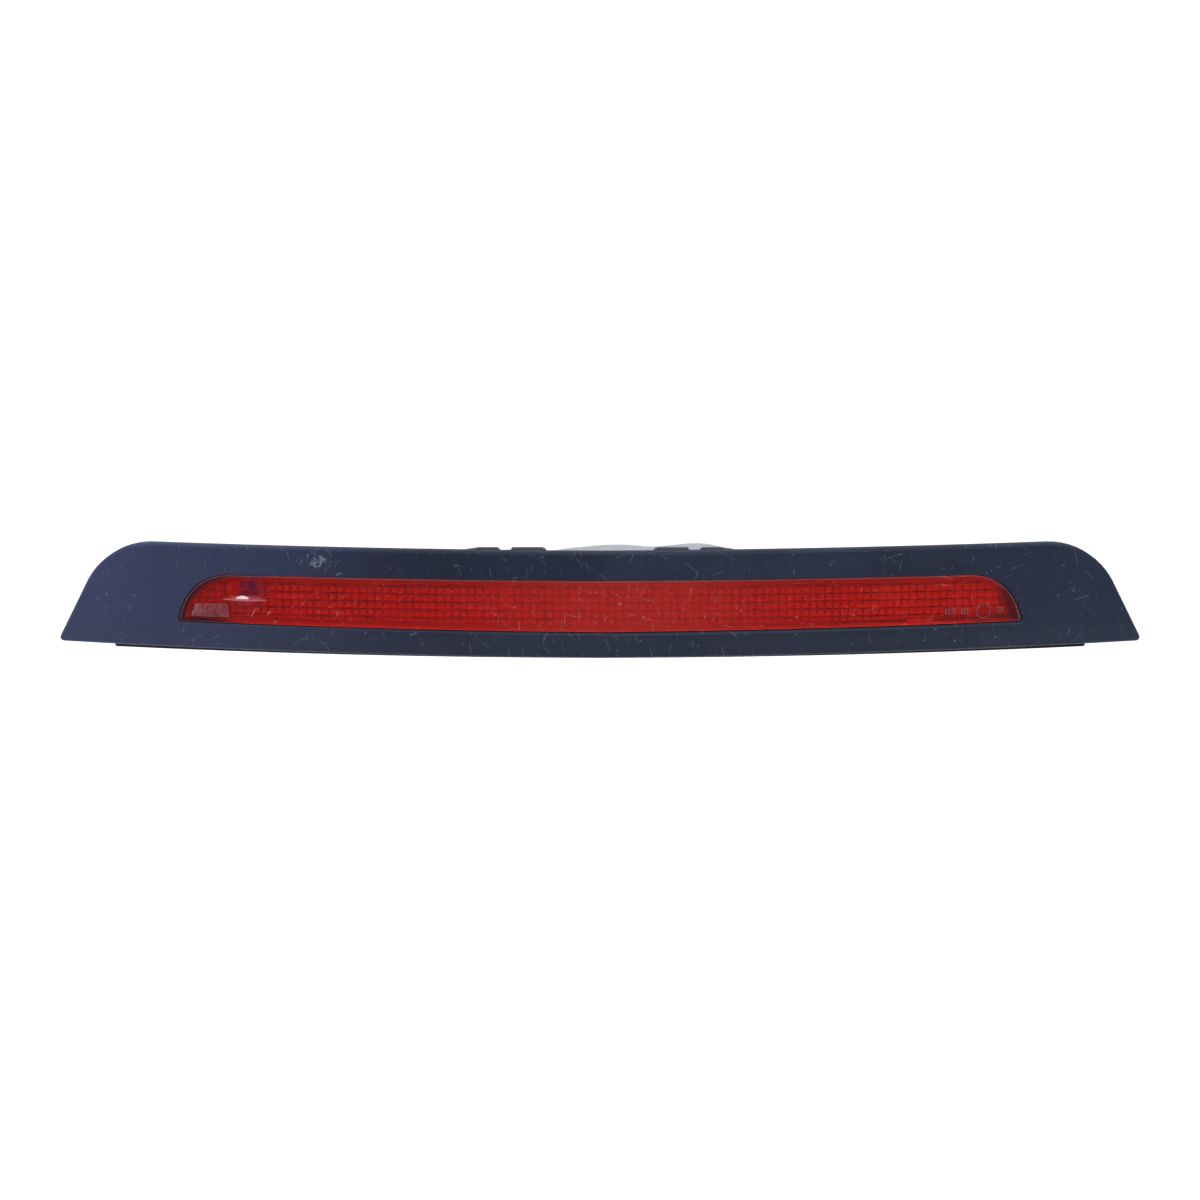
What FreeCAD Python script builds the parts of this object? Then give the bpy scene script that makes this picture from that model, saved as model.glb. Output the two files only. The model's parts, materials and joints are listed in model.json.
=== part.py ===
import FreeCAD, Part
import math
import os
import re

import Sketcher

# Third (high-level) brake light: a long bowed trim with a red lens in its window, a lamp
# housing behind it and a pull-out bulb carrier.
#
# Frame, in millimetres: X runs along the lamp, Z is up, and Y points from the lens into
# the vehicle, so the lens faces -Y. The origin is the middle of the two fixing holes, on
# the plane where the lamp meets the body panel. Curved faces are cylinders about one
# vertical bow axis; "depth" is how far a face lies behind the trim's front face.

DRIVING_SIZES = [
    ("bow_radius", 900, "plan radius of the trim's front face"),
    ("front_reach", 44, "front face ahead of the mounting plane, at the middle"),
    ("half_height", 60, "half height of the construction solids"),
    ("trim_top_middle", 21, "top edge of the trim at the middle"),
    ("trim_top_end", 22.1, "top edge of the trim, carried on to the flank line"),
    ("trim_shoulder", 196.6, "where top edge and flank line would meet"),
    ("trim_shoulder_round", 31, "rounding of the shoulder"),
    ("trim_tip", 218.7, "where flank line and bottom edge would meet"),
    ("trim_tip_round", 1.6, "rounding of the tip"),
    ("trim_bottom_end", 19.05, "bottom edge of the trim at the tip"),
    ("trim_bottom_middle", 20.9, "bottom edge of the trim at the middle"),
    ("trim_face", 2.4, "thickness of the trim's face"),
    ("trim_wall", 2.0, "thickness of the trim's return"),
    ("trim_return", 6, "depth at which the return ends"),
    ("rib_inner", 176, "inner stiffening ribs of the trim, from the middle"),
    ("rib_outer", 205, "outer stiffening ribs of the trim, from the middle"),
    ("rib_half", 0.7, "half thickness of the trim's ribs"),
    ("trim_edge_round", 1, "rounding of the trim's front edge"),
    ("window_edge_round", 0.4, "rounding of the window's front edge"),
    ("window_top_middle", 10.1, "window edge above the centre line, at the middle"),
    ("window_top_end", 10.5, "window top edge, carried on to the end line"),
    ("window_shoulder", 162.8, "where window top and end lines would meet"),
    ("window_shoulder_round", 21, "rounding of the window's upper corners"),
    ("window_end", 168.1, "where window end and bottom lines would meet"),
    ("window_end_round", 1.2, "rounding of the window's lower corners"),
    ("window_bottom_end", 9.3, "window bottom edge at its end"),
    ("window_bottom_middle", 11.0, "window bottom edge at the middle"),
    ("lens_gap", 0.3, "gap round the lens in the window"),
    ("lens_front", 0.8, "depth of the lens's front"),
    ("lens_back", 3.4, "depth of the lens panel's back"),
    ("flange_lap", 2.0, "lens flange beyond the window"),
    ("flange_back", 4.6, "depth of the lens flange's back"),
    ("flange_front", 2.45, "depth of the lens flange's front"),
    ("seal_back", 5.6, "depth of the seal's back"),
    ("rim_back", 7.6, "depth of the housing rim's back"),
    ("rim_lap", 2.3, "housing rim beyond the window"),
    ("shell_lap", 1.4, "housing wall outside, beyond the window"),
    ("cavity_inset", 0.6, "housing cavity inside the window line"),
    ("back_plate_front", 8, "back plate's front face ahead of the mounting plane"),
    ("back_plate_back", 6, "back plate's back face ahead of the mounting plane"),
    ("bulb_pitch", 62, "spacing of the bulbs"),
    ("bulb_opening", 6.8, "radius of the bulb openings in the back plate"),
    ("scallop_back", 9.5, "reflector scallop floor ahead of the mounting plane"),
    ("scallop_front", 18.5, "reflector cusp ahead of the mounting plane"),
    ("reflector_skin", 1.2, "thickness of the reflector"),
    ("glass_radius", 5, "radius of a bulb's glass"),
    ("glass_skin", 0.7, "thickness of the glass"),
    ("glass_tip", 23, "glass tip ahead of the mounting plane"),
    ("coil_half", 2.2, "half length of a filament's coil"),
    ("coil_rise", 7, "coil ahead of the glass's floor"),
    ("post_radius", 0.22, "radius of a filament's posts"),
    ("base_width", 9.5, "width of a bulb's wedge base"),
    ("base_thickness", 2.1, "thickness of a bulb's wedge base"),
    ("base_end", 3.5, "end of the wedge base behind the mounting plane"),
    ("lead_thickness", 0.35, "lead wire thickness on the wedge base"),
    ("carrier_half_length", 138.9, "half length of the carrier's nest plate"),
    ("flange_half_length", 140, "half length of the carrier's flange"),
    ("carrier_half_height", 8.6, "half height of the nest plate"),
    ("flange_half_height", 11, "half height of the carrier's flange"),
    ("collar_half_length", 143, "half length inside the housing's collar"),
    ("collar_half_height", 9.2, "half height inside the housing's collar"),
    ("collar_wall", 2.6, "thickness of the collar"),
    ("carrier_front", 4, "front of the carrier's flange ahead of the mounting plane"),
    ("carrier_back", 2, "back of the carrier's flange ahead of the mounting plane"),
    ("lap", 1, "overlap between fused parts of the carrier"),
    ("crown_left", 22, "left end of the carrier's crown, left of the middle"),
    ("crown_right", 58.5, "right end of the carrier's crown"),
    ("crown_top", 18.7, "top of the carrier's crown, before its rounding"),
    ("socket_back", 7, "end of a socket behind the mounting plane"),
    ("socket_half_width", 7, "half width of a socket"),
    ("socket_half_height", 4.5, "half height of a socket"),
    ("slot_half_width", 5.2, "half width of a socket's slot"),
    ("slot_half_height", 2.4, "half height of a socket's slot"),
    ("brass", 0.5, "thickness of the contact brass"),
    ("strip_inner", 5.6, "inner edge of a contact strip"),
    ("strip_outer", 8.6, "outer edge of a contact strip"),
    ("contact_half", 3, "half width of a contact at a socket"),
    ("connector_middle", 93, "middle of the connector shroud along the lamp"),
    ("connector_end", 9, "end of the shroud behind the mounting plane"),
    ("connector_half_width", 7, "half width inside the shroud"),
    ("connector_half_height", 4, "half height inside the shroud"),
    ("shroud_wall", 1.2, "wall of the shroud"),
    ("rib", 1.2, "thickness of the carrier's ribs"),
    ("blade_width", 2.8, "width of a connector blade"),
    ("blade_offset", 3, "blade middle from the shroud's middle"),
    ("blade_level", 1.5, "underside of the blades below the centre line"),
    ("tongue_pivot", 138.6, "hinge line of a release tongue along the lamp"),
    ("pivot_plane", 5, "hinge line of a tongue ahead of the mounting plane"),
    ("tongue_gap", 5.2, "half height of the carrier's gap for a tongue"),
    ("leg_start", 1.6, "inner face of a tongue's leg beyond its hinge line"),
    ("leg_end", 2.8, "outer face of a tongue's leg beyond its hinge line"),
    ("tongue_bead", 0.7, "radius of the tongue's hinge bead"),
    ("tongue_half_width", 4, "half width of a release tongue"),
    ("clip_middle", 37.8, "middle of a spring clip along the lamp"),
    ("clip_half_width", 16.2, "half width of a spring clip"),
    ("clip_base_half", 11, "half width of a clip's fixed leg"),
    ("seat_half", 13, "half width of a clip's seat on the housing"),
    ("seat_front", 20, "front of a clip's seat ahead of the mounting plane"),
    ("crown_slope", 6.5, "width of the sloped outer corner of a clip"),
    ("clip_notch", 2.2, "half width of the notch between a clip's two humps"),
    ("clip_strip", 0.8, "thickness of the spring strip"),
    ("clip_seat", 14, "top of the clip seat on the housing"),
    ("clip_peg", 16.8, "staking peg of the clip ahead of the mounting plane"),
    ("peg_radius", 1.2, "radius of the staking peg"),
    ("peg_head", 0.7, "staked head of the peg beyond its radius"),
    ("peg_rise", 0.85, "underside of the staked head above the seat"),
    ("clip_fold", 7, "fold of the clip ahead of the mounting plane"),
    ("fold_radius", 1.2, "outside radius of the clip's fold"),
    ("crest_reach", 25, "crest of the clip ahead of the mounting plane"),
    ("crest_top", 19.9, "top of the clip's crest"),
    ("crest_round", 3.2, "outside radius of the crest"),
    ("upper_screw", 80, "upper screws from the middle"),
    ("upper_screw_level", 16.2, "height of the upper screws"),
    ("upper_seat", 30.6, "end of the upper screw bosses ahead of the mounting plane"),
    ("lower_screw", 110, "lower screws from the middle"),
    ("lower_screw_level", 15.9, "lower screws below the centre line"),
    ("lower_seat", 27.4, "end of the lower screw bosses ahead of the mounting plane"),
    ("boss_radius", 2.5, "radius of a screw boss"),
    ("screw_radius", 1.45, "radius of a screw's thread"),
    ("ear_thickness", 2, "thickness of the housing's screw ears"),
    ("ear_half_width", 4.5, "half width of a screw ear"),
    ("ear_root", 11, "root of the ears, inside the housing's wall"),
    ("ear_top", 18.9, "top of the upper ears"),
    ("ear_bottom", 18.4, "underside of the lower ears"),
    ("web", 1.2, "thickness of the webs behind an ear"),
    ("web_top", 14.5, "top of the webs behind the upper ears"),
    ("web_bottom", 14.2, "underside of the webs behind the lower ears"),
    ("head_radius", 2.8, "radius of a screw's head"),
    ("screw_length", 6.3, "length of a screw beyond the ear"),
    ("fixing_half_spacing", 158, "fixing holes from the middle"),
    ("fixing_boss", 5.5, "radius of a fixing boss"),
    ("fixing_boss_front", 15.4, "front of a fixing boss ahead of the mounting plane"),
    ("insert_radius", 3.2, "outside radius of a threaded insert"),
    ("insert_bore", 2.1, "radius of the insert's bore, at the thread's crest"),
    ("insert_length", 9, "length of a threaded insert"),
    ("strip_half_length", 195, "half length of the lower seal strip"),
    ("strip_bottom_end", 20.75, "underside of the lower seal strip at its ends"),
    ("strip_bottom_middle", 21.3, "underside of the lower seal strip at the middle"),
    ("pad_middle", 192, "middle of a foam pad along the lamp"),
]

doc = FreeCAD.newDocument("third_brake_light")
sheet = doc.addObject("Spreadsheet::Sheet", "sizes")
for row, (alias, number, meaning) in enumerate(DRIVING_SIZES, start=1):
    sheet.set("A%d" % row, meaning)
    sheet.set("B%d" % row, str(number))
    sheet.setAlias("B%d" % row, alias)
doc.recompute()

ALIASES = {alias for alias, _, _ in DRIVING_SIZES}
BULB_STATIONS = ["-2*bulb_pitch", "-bulb_pitch", "0", "bulb_pitch", "2*bulb_pitch"]
SIDES = {"left": "-1", "right": "1"}
TURN = FreeCAD.Rotation
VECTOR = FreeCAD.Vector
AXES = {
    "x": TURN(VECTOR(0, 1, 0), 90),
    "y": TURN(VECTOR(1, 0, 0), -90),
    "z": TURN(),
}
sub_parts = []


def bound(expression):
    """Write a size expression so that its words point at the spreadsheet's cells."""
    def to_cell(match):
        word = match.group()
        return "sizes." + word if word in ALIASES else word
    return re.sub(r"[a-z_]+", to_cell, str(expression))


def number(expression):
    return float(sheet.evalExpression(bound(expression)))


def bind(item, **expressions):
    for name, expression in expressions.items():
        item.setExpression(name, bound(expression))
    return item


def put(item, x="0", y="0", z="0", rotation=None):
    if rotation is not None:
        item.Placement = FreeCAD.Placement(VECTOR(), rotation)
    for axis, expression in zip("xyz", (x, y, z)):
        item.setExpression(".Placement.Base." + axis, bound(expression))
    return item


def block(x, y, z):
    """A box between two expressions on each axis."""
    item = doc.addObject("Part::Box", "block")
    bind(item, Length="%s - (%s)" % (x[1], x[0]))
    bind(item, Width="%s - (%s)" % (y[1], y[0]))
    bind(item, Height="%s - (%s)" % (z[1], z[0]))
    return put(item, x[0], y[0], z[0])


def rod(along, x, y, z, radius, length):
    """A cylinder that starts at x, y, z and runs along one axis."""
    item = doc.addObject("Part::Cylinder", "rod")
    bind(item, Radius=radius, Height=length)
    return put(item, x, y, z, AXES[along])


def ball(x, y, z, radius):
    item = doc.addObject("Part::Sphere", "ball")
    return put(bind(item, Radius=radius), x, y, z)


def taper(x, y, z, start_radius, end_radius, length):
    """A cone along Y."""
    item = doc.addObject("Part::Cone", "taper")
    bind(item, Radius1=start_radius, Radius2=end_radius, Height=length)
    return put(item, x, y, z, AXES["y"])


def fuse(*pieces):
    item = doc.addObject("Part::MultiFuse", "fuse")
    item.Shapes = list(pieces)
    return item


def common(*pieces):
    item = doc.addObject("Part::MultiCommon", "common")
    item.Shapes = list(pieces)
    return item


def cut(base, *tools):
    item = doc.addObject("Part::Cut", "cut")
    item.Base = base
    item.Tool = tools[0] if len(tools) == 1 else fuse(*tools)
    return item


def group(*pieces):
    item = doc.addObject("Part::Compound", "group")
    item.Links = list(pieces)
    return item


def mirrored(piece):
    """The same piece on the other side of the lamp's middle."""
    item = doc.addObject("Part::Mirroring", "mirrored")
    item.Source = piece
    item.Normal = VECTOR(1, 0, 0)
    item.Base = VECTOR(0, 0, 0)
    return item


def sub_part(label, item):
    item.Label = label
    sub_parts.append(item)
    return item


def corner_points(corners):
    """For each corner: the points where its rounding starts and ends, and its middle."""
    points = []
    count = len(corners)
    for index, (place, radius) in enumerate(corners):
        before = corners[index - 1][0] - place
        after = corners[(index + 1) % count][0] - place
        before.normalize()
        after.normalize()
        if radius == 0:
            points.append((place, place, None))
            continue
        half = before.getAngle(after) / 2
        reach = radius / math.tan(half)
        middle_way = before + after
        middle_way.normalize()
        to_centre = (radius * radius + reach * reach) ** 0.5
        nearest = place + middle_way * (to_centre - radius)
        points.append((place + before * reach, place + after * reach, nearest))
    return points


def outline(name, corners, plane="XZ"):
    """A closed sketch through corners (across, up, rounding), each bound to its cells."""
    sketch = doc.addObject("Sketcher::SketchObject", name)
    if plane == "XZ":
        sketch.Placement = FreeCAD.Placement(VECTOR(), TURN(VECTOR(1, 0, 0), 90))
    if plane == "YZ":
        sketch.Placement = FreeCAD.Placement(VECTOR(), TURN(VECTOR(1, 1, 1), 120))
    known = [(VECTOR(number(a), number(b), 0), number(r)) for a, b, r in corners]
    places = corner_points(known)
    count = len(corners)
    lines = []
    for index in range(count):
        start = places[index][1]
        end = places[(index + 1) % count][0]
        lines.append(sketch.addGeometry(Part.LineSegment(start, end), False))
    for index, (across, up, rounding) in enumerate(corners):
        arriving = lines[index - 1]
        leaving = lines[index]
        start, end, nearest = places[index]
        if nearest is None:
            sketch.addConstraint(Sketcher.Constraint("Coincident", arriving, 2, leaving, 1))
            pin_point(sketch, leaving, 1, across, up)
            continue
        arc = sketch.addGeometry(Part.Arc(start, nearest, end), False)
        first_is_start = sketch.getPoint(arc, 1).distanceToPoint(start) < 1e-6
        ends = (1, 2) if first_is_start else (2, 1)
        sketch.addConstraint(Sketcher.Constraint("Tangent", arriving, 2, arc, ends[0]))
        sketch.addConstraint(Sketcher.Constraint("Tangent", arc, ends[1], leaving, 1))
        row = sketch.addConstraint(Sketcher.Constraint("Radius", arc, number(rounding)))
        sketch.setExpression("Constraints[%d]" % row, bound(rounding))
        corner = sketch.addGeometry(Part.Point(known[index][0]), True)
        sketch.addConstraint(Sketcher.Constraint("PointOnObject", corner, 1, arriving))
        sketch.addConstraint(Sketcher.Constraint("PointOnObject", corner, 1, leaving))
        pin_point(sketch, corner, 1, across, up)
    return sketch


def pin_point(sketch, geometry, point, across, up):
    for kind, expression in (("DistanceX", across), ("DistanceY", up)):
        value = number(expression)
        row = sketch.addConstraint(Sketcher.Constraint(kind, -1, 1, geometry, point, value))
        sketch.setExpression("Constraints[%d]" % row, bound(expression))


def both_sides(half):
    """A symmetric outline from its right half, listed from the top to the bottom."""
    left = [("-(%s)" % across, up, rounding) for across, up, rounding in reversed(half)]
    return half + [corner for corner in left if corner[0] != "-(0)"]


def grown(sketch, amount):
    item = doc.addObject("Part::Offset2D", "grown")
    item.Source = sketch
    item.Join = 0
    return bind(item, Value=amount)


def prism(profile, front, back):
    """An outline carried along Y between two expressions."""
    item = doc.addObject("Part::Extrusion", "prism")
    item.Base = profile
    item.DirMode = "Custom"
    item.Dir = VECTOR(0, 1, 0)
    item.Solid = True
    bind(item, LengthFwd="%s - (%s)" % (back, front))
    return put(item, y=front)


def bowed(depth):
    """Everything behind the bowed face at a depth, as one large upright cylinder."""
    item = rod("z", "0", "bow_radius - front_reach", "-half_height",
               "bow_radius - (%s)" % depth, "2*half_height")
    return item


def layer(profile, front_depth, back_depth):
    """An outline between two bowed faces."""
    return cut(common(prism(profile, "-half_height", "half_height"), bowed(front_depth)),
               bowed(back_depth))


def well(profile, front_depth, back):
    """An outline from a bowed face back to a flat plane."""
    return common(prism(profile, "-half_height", back), bowed(front_depth))


def make_trim_outline():
    half = [
        ("0", "trim_top_middle", "0"),
        ("trim_shoulder", "trim_top_end", "trim_shoulder_round"),
        ("trim_tip", "-trim_bottom_end", "trim_tip_round"),
        ("0", "-trim_bottom_middle", "0"),
    ]
    return outline("trim_outline", both_sides(half))


def make_window_outline():
    half = [
        ("0", "window_top_middle", "0"),
        ("window_shoulder", "window_top_end", "window_shoulder_round"),
        ("window_end", "-window_bottom_end", "window_end_round"),
        ("0", "-window_bottom_middle", "0"),
    ]
    return outline("window_outline", both_sides(half))


def screw_places():
    """Each trim screw: across, up and the end of its boss."""
    places = []
    for side in SIDES.values():
        places.append((side + "*upper_screw", "upper_screw_level", "-upper_seat"))
        places.append((side + "*lower_screw", "-lower_screw_level", "-lower_seat"))
    return places


def on_front_face(edge):
    """Whether an edge lies on the trim's bowed front face."""
    centre = number("bow_radius - front_reach")
    radius = number("bow_radius")
    places = edge.discretize(7)
    return all(abs(math.hypot(p.x, p.y - centre) - radius) < 0.02 for p in places)


def rounded_front(item):
    """Round the front edges: more round the outside, less round the window."""
    doc.recompute()
    reach = number("window_end + 0.5")
    height = number("window_top_end + 0.5")
    edges = []
    for index, edge in enumerate(item.Shape.Edges, start=1):
        if not on_front_face(edge):
            continue
        at_window = all(abs(p.x) < reach and abs(p.z) < height for p in edge.discretize(5))
        radius = number("window_edge_round" if at_window else "trim_edge_round")
        edges.append((index, radius, radius))
    fillet = doc.addObject("Part::Fillet", "rounded_front")
    fillet.Base = item
    fillet.Edges = edges
    return fillet


def make_trim_cover():
    everywhere = ("-half_height", "half_height")
    face = layer(trim, "0", "trim_face")
    wall = cut(layer(trim, "trim_face", "trim_return"),
               prism(grown(trim, "-trim_wall"), *everywhere))
    within = prism(grown(trim, "-trim_wall/2"), *everywhere)
    additions = []
    for across, up, seat in screw_places():
        boss = rod("y", across, "-half_height", up, "boss_radius", "half_height + (%s)" % seat)
        additions.append(common(boss, bowed("trim_face/2")))
    for side in SIDES.values():
        for station in ("rib_inner", "rib_outer"):
            middle = side + "*" + station
            rib = block((middle + " - rib_half", middle + " + rib_half"), everywhere, everywhere)
            behind_face = common(rib, within, bowed("trim_face/2"))
            additions.append(cut(behind_face, bowed("trim_return - 0.5")))
    holes = []
    for across, up, seat in screw_places():
        holes.append(rod("y", across, seat + " - 7", up, "screw_radius + 0.03", "7.5"))
    solid = cut(fuse(face, wall, *additions), prism(window, *everywhere), *holes)
    return sub_part("trim_cover", rounded_front(solid))


def make_lens():
    panel = layer(grown(window, "-lens_gap"), "lens_front", "lens_back")
    flange = layer(grown(window, "flange_lap"), "flange_front", "flange_back")
    inside = prism(grown(window, "-2"), "-half_height", "half_height")
    return sub_part("lens", fuse(panel, cut(flange, inside)))


def make_lens_seal():
    ring = layer(grown(window, "1.8"), "flange_back", "seal_back")
    inside = prism(grown(window, "0.4"), "-half_height", "half_height")
    return sub_part("lens_seal", cut(ring, inside))


def make_lamp_housing():
    everywhere = ("-half_height", "half_height")
    shell = well(grown(window, "shell_lap"), "seal_back", "-back_plate_back")
    rim = layer(grown(window, "rim_lap"), "seal_back", "rim_back")
    collar = cut(
        block(("-collar_half_length - collar_wall", "collar_half_length + collar_wall"),
              ("-back_plate_back - 0.5", "-4"),
              ("-collar_half_height - collar_wall", "collar_half_height + collar_wall")),
        block(("-collar_half_length", "collar_half_length"), ("-back_plate_back", "0"),
              ("-collar_half_height", "collar_half_height")))
    cavity = prism(grown(window, "-cavity_inset"), "-half_height", "-back_plate_front")
    bosses = []
    holes = []
    for side in SIDES.values():
        middle = side + "*fixing_half_spacing"
        bosses.append(rod("y", middle, "-fixing_boss_front", "0", "fixing_boss", "fixing_boss_front"))
        holes.append(rod("y", middle, "-insert_length", "0", "insert_radius", "insert_length + 1"))
        holes.append(rod("y", middle, "-insert_length - 5", "0", "insert_bore + 0.6", "6"))
    for station in BULB_STATIONS:
        holes.append(rod("y", station, "-half_height/2", "0", "bulb_opening", "half_height/2"))
    ears = []
    for across, up, seat in screw_places():
        upper = up[0] != "-"
        inner, outer = ("ear_root", "ear_top") if upper else ("-ear_bottom", "-ear_root")
        ears.append(block((across + " - ear_half_width", across + " + ear_half_width"),
                          (seat + " + 0.05", seat + " + 0.05 + ear_thickness"), (inner, outer)))
        low, high = ("ear_root", "web_top") if upper else ("-web_bottom", "-ear_root")
        for edge in ("-ear_half_width", "ear_half_width - web"):
            ears.append(block((across + " + " + edge, across + " + " + edge + " + web"),
                              (seat + " + 1", "-back_plate_back - 3"), (low, high)))
        holes.append(rod("y", across, seat + " - 1", up, "screw_radius + 0.15", "5"))
    seats = []
    for side in SIDES.values():
        middle = side + "*clip_middle"
        seats.append(block((middle + " - seat_half", middle + " + seat_half"),
                           ("-seat_front", "-back_plate_back"), ("ear_root", "clip_seat")))
        seats.append(rod("z", middle, "-clip_peg", "clip_seat", "peg_radius", "peg_rise"))
        seats.append(rod("z", middle, "-clip_peg", "clip_seat + peg_rise",
                         "peg_radius + peg_head", "0.5"))
    frame = fuse(shell, rim, collar, *ears, *seats)
    return sub_part("lamp_housing", cut(fuse(cut(frame, cavity), *bosses), *holes))


def scallops(shift):
    """The space in front of the reflector's row of scallops, moved along Y by shift."""
    half_pitch = number("bulb_pitch/2")
    floor = -number("scallop_back") + shift
    cusp = -number("scallop_front") + shift
    end = number("window_end + 5")
    front = -number("half_height")
    edges = [Part.LineSegment(VECTOR(-end, front, 0), VECTOR(-end, cusp, 0)).toShape()]
    first = number("-2.5*bulb_pitch")
    edges.append(Part.LineSegment(VECTOR(-end, cusp, 0), VECTOR(first, cusp, 0)).toShape())
    for station in BULB_STATIONS:
        middle = number(station)
        edges.append(Part.Arc(VECTOR(middle - half_pitch, cusp, 0), VECTOR(middle, floor, 0),
                              VECTOR(middle + half_pitch, cusp, 0)).toShape())
    edges.append(Part.LineSegment(VECTOR(-first, cusp, 0), VECTOR(end, cusp, 0)).toShape())
    edges.append(Part.LineSegment(VECTOR(end, cusp, 0), VECTOR(end, front, 0)).toShape())
    edges.append(Part.LineSegment(VECTOR(end, front, 0), VECTOR(-end, front, 0)).toShape())
    face = Part.Face(Part.Wire(edges))
    item = doc.addObject("Part::Feature", "scallops")
    item.Shape = face.extrude(VECTOR(0, 0, 60))
    item.Placement = FreeCAD.Placement(VECTOR(0, 0, -30), TURN())
    return item


def make_reflector():
    skin = number("reflector_skin")
    inset = "-cavity_inset - 0.2"
    outside = common(well(grown(window, inset), "seal_back + 0.8", "-5"), scallops(skin))
    inside = common(prism(grown(window, inset + " - reflector_skin"), "-half_height", "0"),
                    scallops(0))
    holes = []
    for station in BULB_STATIONS:
        holes.append(rod("y", station, "-half_height", "0", "bulb_opening - 0.3", "half_height"))
    return sub_part("reflector", cut(outside, inside, *holes))


def make_bulb(index, station):
    shoulder = "-back_plate_front"
    half_width = "base_width/2"
    half_thickness = "base_thickness/2"
    outside = fuse(
        ball(station, "-glass_tip + glass_radius", "0", "glass_radius"),
        rod("y", station, "-glass_tip + glass_radius", "0", "glass_radius",
            "glass_tip - glass_radius - back_plate_front"),
        taper(station, shoulder, "0", "glass_radius", "glass_radius - 1.4", "2"),
        block((station + " - " + half_width, station + " + " + half_width),
              (shoulder + " + 1", "base_end"), ("-" + half_thickness, half_thickness)))
    inner = "glass_radius - glass_skin"
    inside = fuse(
        ball(station, "-glass_tip + glass_radius", "0", inner),
        rod("y", station, "-glass_tip + glass_radius", "0", inner,
            "glass_tip - glass_radius - back_plate_front - glass_skin"))
    return sub_part("bulb_%d" % index, cut(outside, inside))


def make_filament(index, station):
    floor = "-back_plate_front - glass_skin"
    pieces = [rod("x", station + " - coil_half", floor + " - coil_rise", "0", "0.35",
                  "2*coil_half")]
    for side in SIDES.values():
        across = station + " + " + side + "*(coil_half - 0.2)"
        pieces.append(rod("y", across, floor + " - coil_rise - 0.2", "0", "post_radius",
                          "coil_rise + 0.15"))
    pieces = [fuse(*pieces)]
    for side in SIDES.values():
        across = station + " + " + side + "*coil_half"
        face = "base_thickness/2"
        outer = face + " + lead_thickness - 0.05"
        heights = (face, outer) if side == "1" else ("-(" + outer + ")", "-" + face)
        pieces.append(block((across + " - 0.4", across + " + 0.4"), ("-3", "base_end"), heights))
    return sub_part("filament_%d" % index, group(*pieces))


def crown_outline():
    """The raised part of the carrier's flange that stands above the housing."""
    return outline("crown_outline", [
        ("-crown_left", "crown_top - 3.7", "2"),
        ("-14", "crown_top - 2.1", "30"),
        ("7.5", "crown_top", "90"),
        ("21", "crown_top - 1.5", "30"),
        ("41", "crown_top + 0.5", "35"),
        ("crown_right", "crown_top - 3.7", "2"),
        ("crown_right", "flange_half_height - 2", "0"),
        ("-crown_left", "flange_half_height - 2", "0"),
    ])


def make_bulb_carrier():
    nest = block(("-carrier_half_length", "carrier_half_length"), ("-back_plate_back", "-3.5"),
                 ("-carrier_half_height", "carrier_half_height"))
    plate = ("-carrier_front", "-carrier_back")
    root = "-carrier_back - lap"
    flange = block(("-flange_half_length", "flange_half_length"), plate,
                   ("-flange_half_height", "flange_half_height"))
    crown = prism(crown_outline(), *plate)
    shroud_half = "connector_half_width + shroud_wall"
    shroud_height = "connector_half_height + shroud_wall"
    shroud = block(("connector_middle - (%s)" % shroud_half, "connector_middle + %s" % shroud_half),
                   (root, "connector_end"), ("-(%s)" % shroud_height, shroud_height))
    additions = [nest, flange, crown, shroud]
    socket_height = ("-socket_half_height", "socket_half_height")
    holes = [block(("connector_middle - connector_half_width",
                    "connector_middle + connector_half_width"),
                   ("-carrier_back", "connector_end + 1"),
                   ("-connector_half_height", "connector_half_height"))]
    for station in BULB_STATIONS:
        width = (station + " - socket_half_width", station + " + socket_half_width")
        additions.append(block(width, (root, "socket_back"), socket_height))
        additions.append(rod("y", station, "-back_plate_front", "0", "bulb_opening - 0.6", "3"))
        holes.append(rod("y", station, "-back_plate_front - 1", "0", "glass_radius + 0.4", "3"))
        holes.append(block((station + " - slot_half_width", station + " + slot_half_width"),
                           ("-7", "socket_back + 1"), ("-slot_half_height", "slot_half_height")))
    for start, end in zip(BULB_STATIONS, BULB_STATIONS[1:]):
        spine = (start + " + socket_half_width - 0.5", end + " - socket_half_width + 0.5")
        additions.append(block(spine, (root, "1"), ("-rib/2", "rib/2")))
        middle = "(%s + %s)/2" % (start, end)
        additions.append(block((middle + " - rib/2", middle + " + rib/2"), (root, "0.4"),
                               socket_height))
    edge_height = (root, "-0.6")
    for level in (("flange_half_height - rib", "flange_half_height"),
                  ("-flange_half_height", "-flange_half_height + rib")):
        additions.append(block(("-flange_half_length", "flange_half_length"), edge_height, level))
    for side, gap in (("-1", "strip_inner"), ("1", "-strip_inner")):
        across = "connector_middle + %s*blade_offset" % side
        levels = ("2", gap) if side == "-1" else (gap, "-2")
        holes.append(block((across + " - blade_width/2 - 0.1", across + " + blade_width/2 + 0.1"),
                           ("-carrier_back", "-carrier_back + brass + 0.1"), levels))
    gap = ("-tongue_gap", "tongue_gap")
    behind = ("-carrier_front - 0.05", "0")
    for side in SIDES.values():
        holes.append(rod("z", side + "*tongue_pivot", "-pivot_plane", "-tongue_gap",
                         "tongue_bead + 0.1", "2*tongue_gap"))
    holes.append(block(("tongue_pivot - 0.1", "flange_half_length + 1"), behind, gap))
    holes.append(block(("-flange_half_length - 1", "-tongue_pivot + 0.1"), behind, gap))
    return sub_part("bulb_carrier", cut(fuse(*additions), *holes))


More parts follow.
